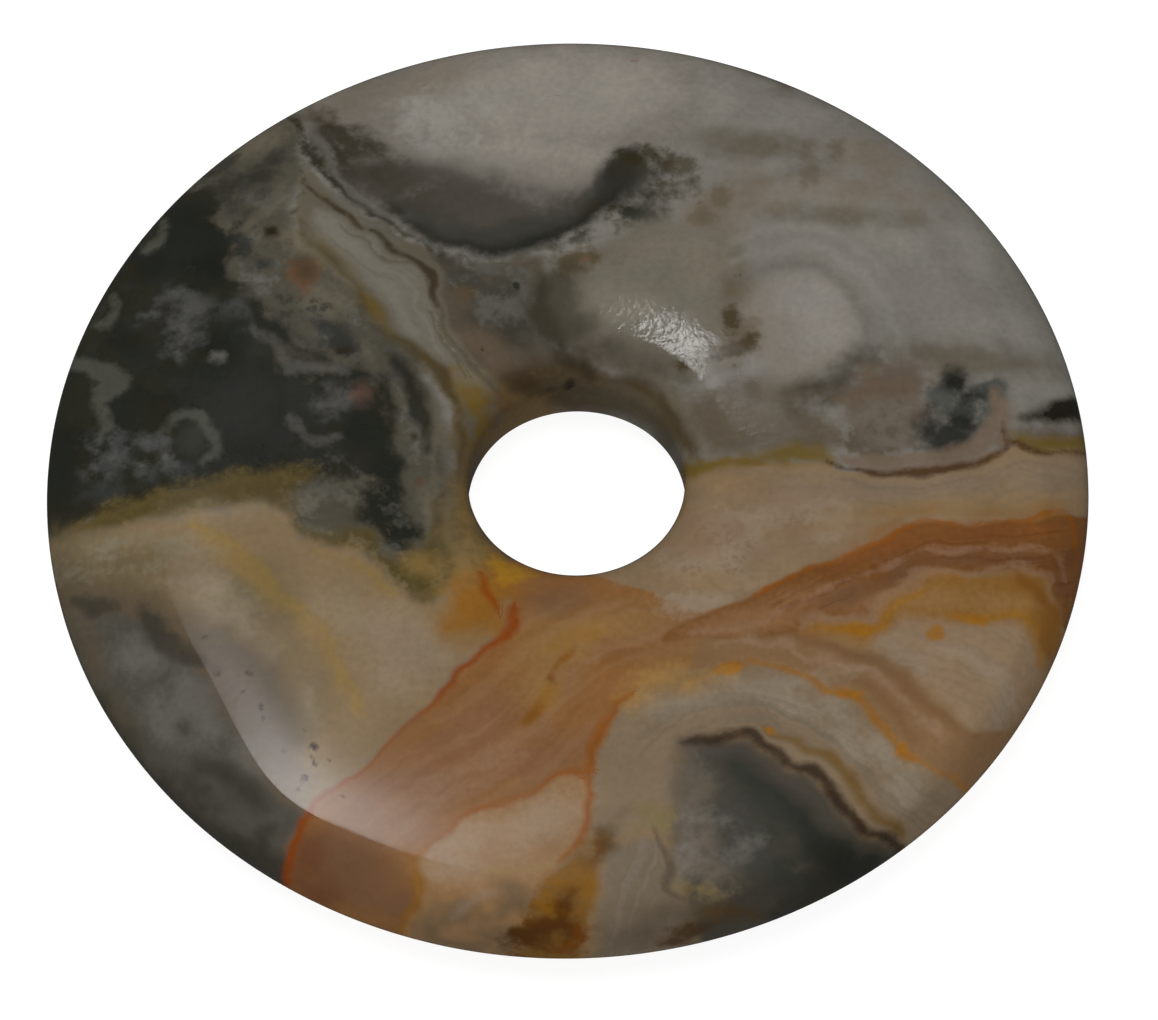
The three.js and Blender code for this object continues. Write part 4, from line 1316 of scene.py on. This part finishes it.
patch("bottom lace", "#6e6150",
      [(606, 856), (640, 836), (660, 838), (672, 862), (684, 900), (690, 925), (700, 990),
       (600, 990), (598, 930), (602, 890)],
      soft=0.4, wavy=0.2)
ripples("lace layers", "#80776c",
        [(606, 860), (650, 836), (668, 860), (680, 900), (660, 960), (600, 980), (600, 900)],
        [(610, 990), (612, 940), (622, 890), (640, 850), (650, 800)],
        0.45,
        amount=0.2, soft=0.3)
strand("lace line", "#4c4235",
       ((3.5, 6, 8.4, 7.2, 7.2, 7),
        [(652, 827), (662, 846), (670, 863), (666, 888), (674, 896), (684, 902)]),
       soft=0.14, wavy=0.1, amount=0.75)
cloud("lace shade", "#5d5242", (668, 912, 26, 10, 15), (640, 935, 20, 10, 20),
      (700, 905, 16, 14, 0), (620, 816, 10, 7, 20), (610, 830, 8, 6, 0), (688, 787, 9, 4, 5),
      soft=0.4, wavy=0.3, amount=0.7)
cloud("yellow moss", "#776843", (650, 812, 18, 8, 10), (662, 822, 10, 10, 0), (636, 824, 14, 6, 0),
      (700, 890, 20, 8, 0), soft=0.3, wavy=0.35, grainy=0.1, amount=0.75)
cloud("brown stain", "#4e3812", (605, 843, 6, 6, 0), (716, 912, 12, 6, 0), (735, 912, 20, 7, -10),
      soft=0.3, wavy=0.3, grainy=0.08, amount=0.6)
cloud("dark stain", "#432f17", (690, 934, 22, 9, 12), (676, 942, 14, 8, 0), soft=0.22, wavy=0.25,
      grainy=0.08, amount=0.85)
seam("rust", "#7e3a0a",
     ((8, 12, 11, 9, 7, 8, 7, 5, 4, 3.5, 3, 2.5, 2.5, 5, 7, 8, 9, 9, 9),
      [(514, 608), (512, 622), (505, 635), (488, 647), (471, 661), (455, 672), (448, 684),
       (441, 694), (428, 708), (408, 724), (389, 743), (373, 760), (357, 776), (335, 787),
       (318, 800), (308, 816), (296, 838), (291, 855), (287, 884)]),
     ((4, 7, 8, 5), [(482, 576), (484, 588), (492, 598), (498, 610)]),
     soft=0.18, wavy=0.06, grainy=0.04, amount=0.85)
seam("orange branch", "#84480a",
     ((4, 6, 8, 9, 9, 7, 6, 6, 6, 5, 4),
      [(630, 695), (616, 704), (607, 720), (598, 738), (591, 756), (588, 776), (589, 796),
       (589, 816), (586, 832), (576, 846), (562, 858)]),
     ((7, 7, 5, 5, 4, 5, 5, 4, 5, 5),
      [(589, 773), (568, 773), (553, 779), (534, 792), (515, 800), (493, 806), (471, 811),
       (460, 820), (446, 834), (422, 851)]),
     soft=0.24, wavy=0.08, grainy=0.04, amount=0.9)
strand("pocket rim", "#835716",
       ((3.4, 7.6, 9.3, 10.2, 8.5, 10.2, 11.9),
        [(424, 850), (417, 860), (417, 876), (421, 890), (416, 904), (408, 918), (400, 934)]),
       soft=0.28, wavy=0.1, grainy=0.06, amount=0.85)
cloud("specks", "#2e1608", (216, 674, 4, 3.4, 0), (250, 674, 4, 3, 0), (262, 707, 3.4, 4, 20),
      (284, 752, 3, 2.6, 0), (314, 745, 5.4, 3.8, 0), (311, 757, 3.4, 2.6, 0),
      (314, 765, 3, 2.4, 0), (302, 777, 3.8, 3.2, 0), (328, 760, 2.6, 2.2, 0),
      (277, 785, 2.6, 2.2, 0), (298, 789, 2.4, 2, 0), (341, 797, 2.4, 2, 0), (243, 692, 2.4, 2, 0),
      (206, 637, 2.4, 2, 0), (264, 718, 2.4, 2, 0), (306, 730, 2.2, 1.8, 0), soft=0.07, wavy=0.05,
      grainy=0.04)

# %% [markdown]
# Crazy lace agate is a cryptocrystalline quartz. Sawn, lapped and buffed with tin oxide, it
# takes a glassy polish: IOR 1.54 and a low roughness, with faint pits where the stone is
# porous. The layers are painted in the order in which they were drawn above.

# %% The material
agate = bpy.data.materials.new("polished crazy lace agate")
agate.use_nodes = True
tree = agate.node_tree
tree.nodes.clear()

def add(kind, inputs=None, **settings):
    """Adds a node to the agate, sets its properties, and fills or links its inputs."""
    node = tree.nodes.new(kind)
    for name, value in settings.items():
        setattr(node, name, value)
    for socket, value in (inputs or {}).items():
        if isinstance(value, bpy.types.NodeSocket):
            tree.links.new(value, node.inputs[socket])
        else:
            node.inputs[socket].default_value = value
    return node

# %% Noise at three real sizes
place = add("ShaderNodeTexCoord").outputs["Object"]
in_mm = add("ShaderNodeVectorMath", {0: place, "Scale": 1 / MM}, operation="SCALE").outputs[0]
NOISE_SIZES = {"cloud": 3.0, "blotch": 1.0, "grain": 0.28}
NOISE_DETAIL = {"cloud": 5.0, "blotch": 4.0, "grain": 3.0}
NOISE_ROUGHNESS = 0.55
FRAY_REACH = 2.0
RIPPLE_DRIFT = 0.12

noise = {}
for name, size in NOISE_SIZES.items():
    texture = add("ShaderNodeTexNoise", {"Vector": in_mm, "Scale": 1 / size,
                                         "Detail": NOISE_DETAIL[name],
                                         "Roughness": NOISE_ROUGHNESS})
    noise[name] = texture.outputs[0]
fray = {}
for name in ("blotch", "grain"):
    spread = add("ShaderNodeMath", {0: noise[name], 1: 2 * FRAY_REACH, 2: -FRAY_REACH},
                 operation="MULTIPLY_ADD")
    fray[name] = spread.outputs[0]

apart = add("ShaderNodeSeparateXYZ", {0: in_mm})
drift = add("ShaderNodeMath", {0: apart.outputs[0], 1: RIPPLE_DRIFT},
            operation="MULTIPLY").outputs[0]
print("noise, mm:", NOISE_SIZES)

# %% Paint the layers
def frayed(value, layer):
    """A layer's number with noise added, in millimetres."""
    value = add("ShaderNodeMath", {0: fray["blotch"], 1: layer["wavy"], 2: value},
                operation="MULTIPLY_ADD").outputs[0]
    return add("ShaderNodeMath", {0: fray["grain"], 1: layer["grainy"], 2: value},
               operation="MULTIPLY_ADD").outputs[0]

def read_map(name):
    """The number that was kept under a name at each point of the ring."""
    return add("ShaderNodeAttribute", attribute_name=name).outputs["Fac"]

def cut(value, low, high, top=1.0):
    """Turns a number to an amount from 0 to top, with a smooth step between low and high."""
    return add("ShaderNodeMapRange", {"Value": value, "From Min": low, "From Max": high,
                                      "To Max": top},
               interpolation_type="SMOOTHSTEP").outputs[0]

GROUND = linear("#78746c")
RIPPLE_FRAY = dict(wavy=0.12, grainy=0.02)

colour = add("ShaderNodeMix", {0: 0.0, 6: GROUND, 7: GROUND}, data_type="RGBA").outputs[2]
for layer in LAYERS:
    if layer["kind"] == "seam":
        across = frayed(read_map(layer["name"]), layer)
        across = add("ShaderNodeMath", {0: across}, operation="ABSOLUTE").outputs[0]
        width = read_map(layer["name"] + " width")
        inside = add("ShaderNodeMath", {0: width, 1: across}, operation="SUBTRACT").outputs[0]
    else:
        inside = frayed(read_map(layer["name"]), layer)
    amount = cut(inside, -layer["soft"], layer["soft"], layer["amount"])
    if layer["kind"] == "ripples":
        guide = frayed(read_map(layer["name"] + " guide"), RIPPLE_FRAY)
        guide = add("ShaderNodeMath", {0: guide, 1: 1 / layer["spacing"]},
                    operation="MULTIPLY").outputs[0]
        row = add("ShaderNodeCombineXYZ", {0: guide, 1: drift}).outputs[0]
        lines = add("ShaderNodeTexNoise", {"Vector": row, "Scale": 1.0, "Detail": 1.0},
                    noise_dimensions="2D").outputs[0]
        lines = cut(lines, *layer["lines"])
        amount = add("ShaderNodeMath", {0: amount, 1: lines}, operation="MULTIPLY").outputs[0]
    if layer["broken"]:
        kind, low, high = layer["broken"]
        holes = cut(noise[kind], low, high)
        amount = add("ShaderNodeMath", {0: amount, 1: holes}, operation="MULTIPLY").outputs[0]
    colour = add("ShaderNodeMix", {0: amount, 6: colour, 7: linear(layer["colour"])},
                 data_type="RGBA").outputs[2]

# %% [markdown]
# The buff reached the whole face and the rim, and took hold best near the hole. At the
# hole's mouth it left fine pits, which break up the lamp's reflection, and behind the hole
# on the right there is a duller patch, where the reflection fades out early.

# %% Mottling and finish
PITTED_WITHIN = (6.0, 9.0)
PITS = (0.35, 0.05)
PIT_DEPTH = 0.02
BEST_POLISH_WITHIN = (8.5, 12.5)
POLISH = (0.08, 0.12)
DULL_PATCH = (744, 390, 62, 36, -45)
DULL_EDGE = dict(wavy=0.3, grainy=0.25)
DULL_FADE = (-0.5, 1.6)
DULLER_BY = 0.24
SHADE = (0.88, 1.12)
SPECK = (0.92, 1.08)
MIDDLE_OF_NOISE = (0.25, 0.75)
AGATE_IOR = 1.54

across_hole = add("ShaderNodeVectorMath", {0: in_mm, 1: (*HOLE_CENTRE, 0.0)},
                  operation="SUBTRACT").outputs[0]
across_hole = add("ShaderNodeVectorMath", {0: across_hole, 1: (1.0, 1.0, 0.0)},
                  operation="MULTIPLY").outputs[0]
from_axis = add("ShaderNodeVectorMath", {0: across_hole}, operation="LENGTH").outputs["Value"]

ramps = {}
for name, value, source, target in (("pits", from_axis, PITTED_WITHIN, PITS),
                                    ("polish", from_axis, BEST_POLISH_WITHIN, POLISH),
                                    ("shade", noise["cloud"], MIDDLE_OF_NOISE, SHADE),
                                    ("speck", noise["grain"], MIDDLE_OF_NOISE, SPECK)):
    ramps[name] = add("ShaderNodeMapRange", {"Value": value,
                                             "From Min": source[0], "From Max": source[1],
                                             "To Min": target[0], "To Max": target[1]}).outputs[0]

write_map("dull patch", oval_values([DULL_PATCH], stone))
dull = cut(frayed(read_map("dull patch"), DULL_EDGE), *DULL_FADE)
polish = add("ShaderNodeMath", {0: dull, 1: DULLER_BY, 2: ramps["polish"]},
             operation="MULTIPLY_ADD").outputs[0]

shade = add("ShaderNodeMath", {0: ramps["shade"], 1: ramps["speck"]},
            operation="MULTIPLY").outputs[0]
colour = add("ShaderNodeVectorMath", {0: colour, "Scale": shade}, operation="SCALE").outputs[0]
bump = add("ShaderNodeBump", {"Strength": ramps["pits"], "Distance": PIT_DEPTH * MM,
                              "Height": noise["grain"]}).outputs[0]
surface = add("ShaderNodeBsdfPrincipled", {"Base Color": colour, "Roughness": polish,
                                           "IOR": AGATE_IOR, "Normal": bump})
add("ShaderNodeOutputMaterial", {"Surface": surface.outputs[0]})
ring.data.materials.append(agate)
print("layers:", len(LAYERS), "nodes:", len(tree.nodes), "maps:", len(ring.data.attributes))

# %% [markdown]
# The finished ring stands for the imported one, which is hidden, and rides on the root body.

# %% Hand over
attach(ring, "root")
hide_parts("agate_ring")
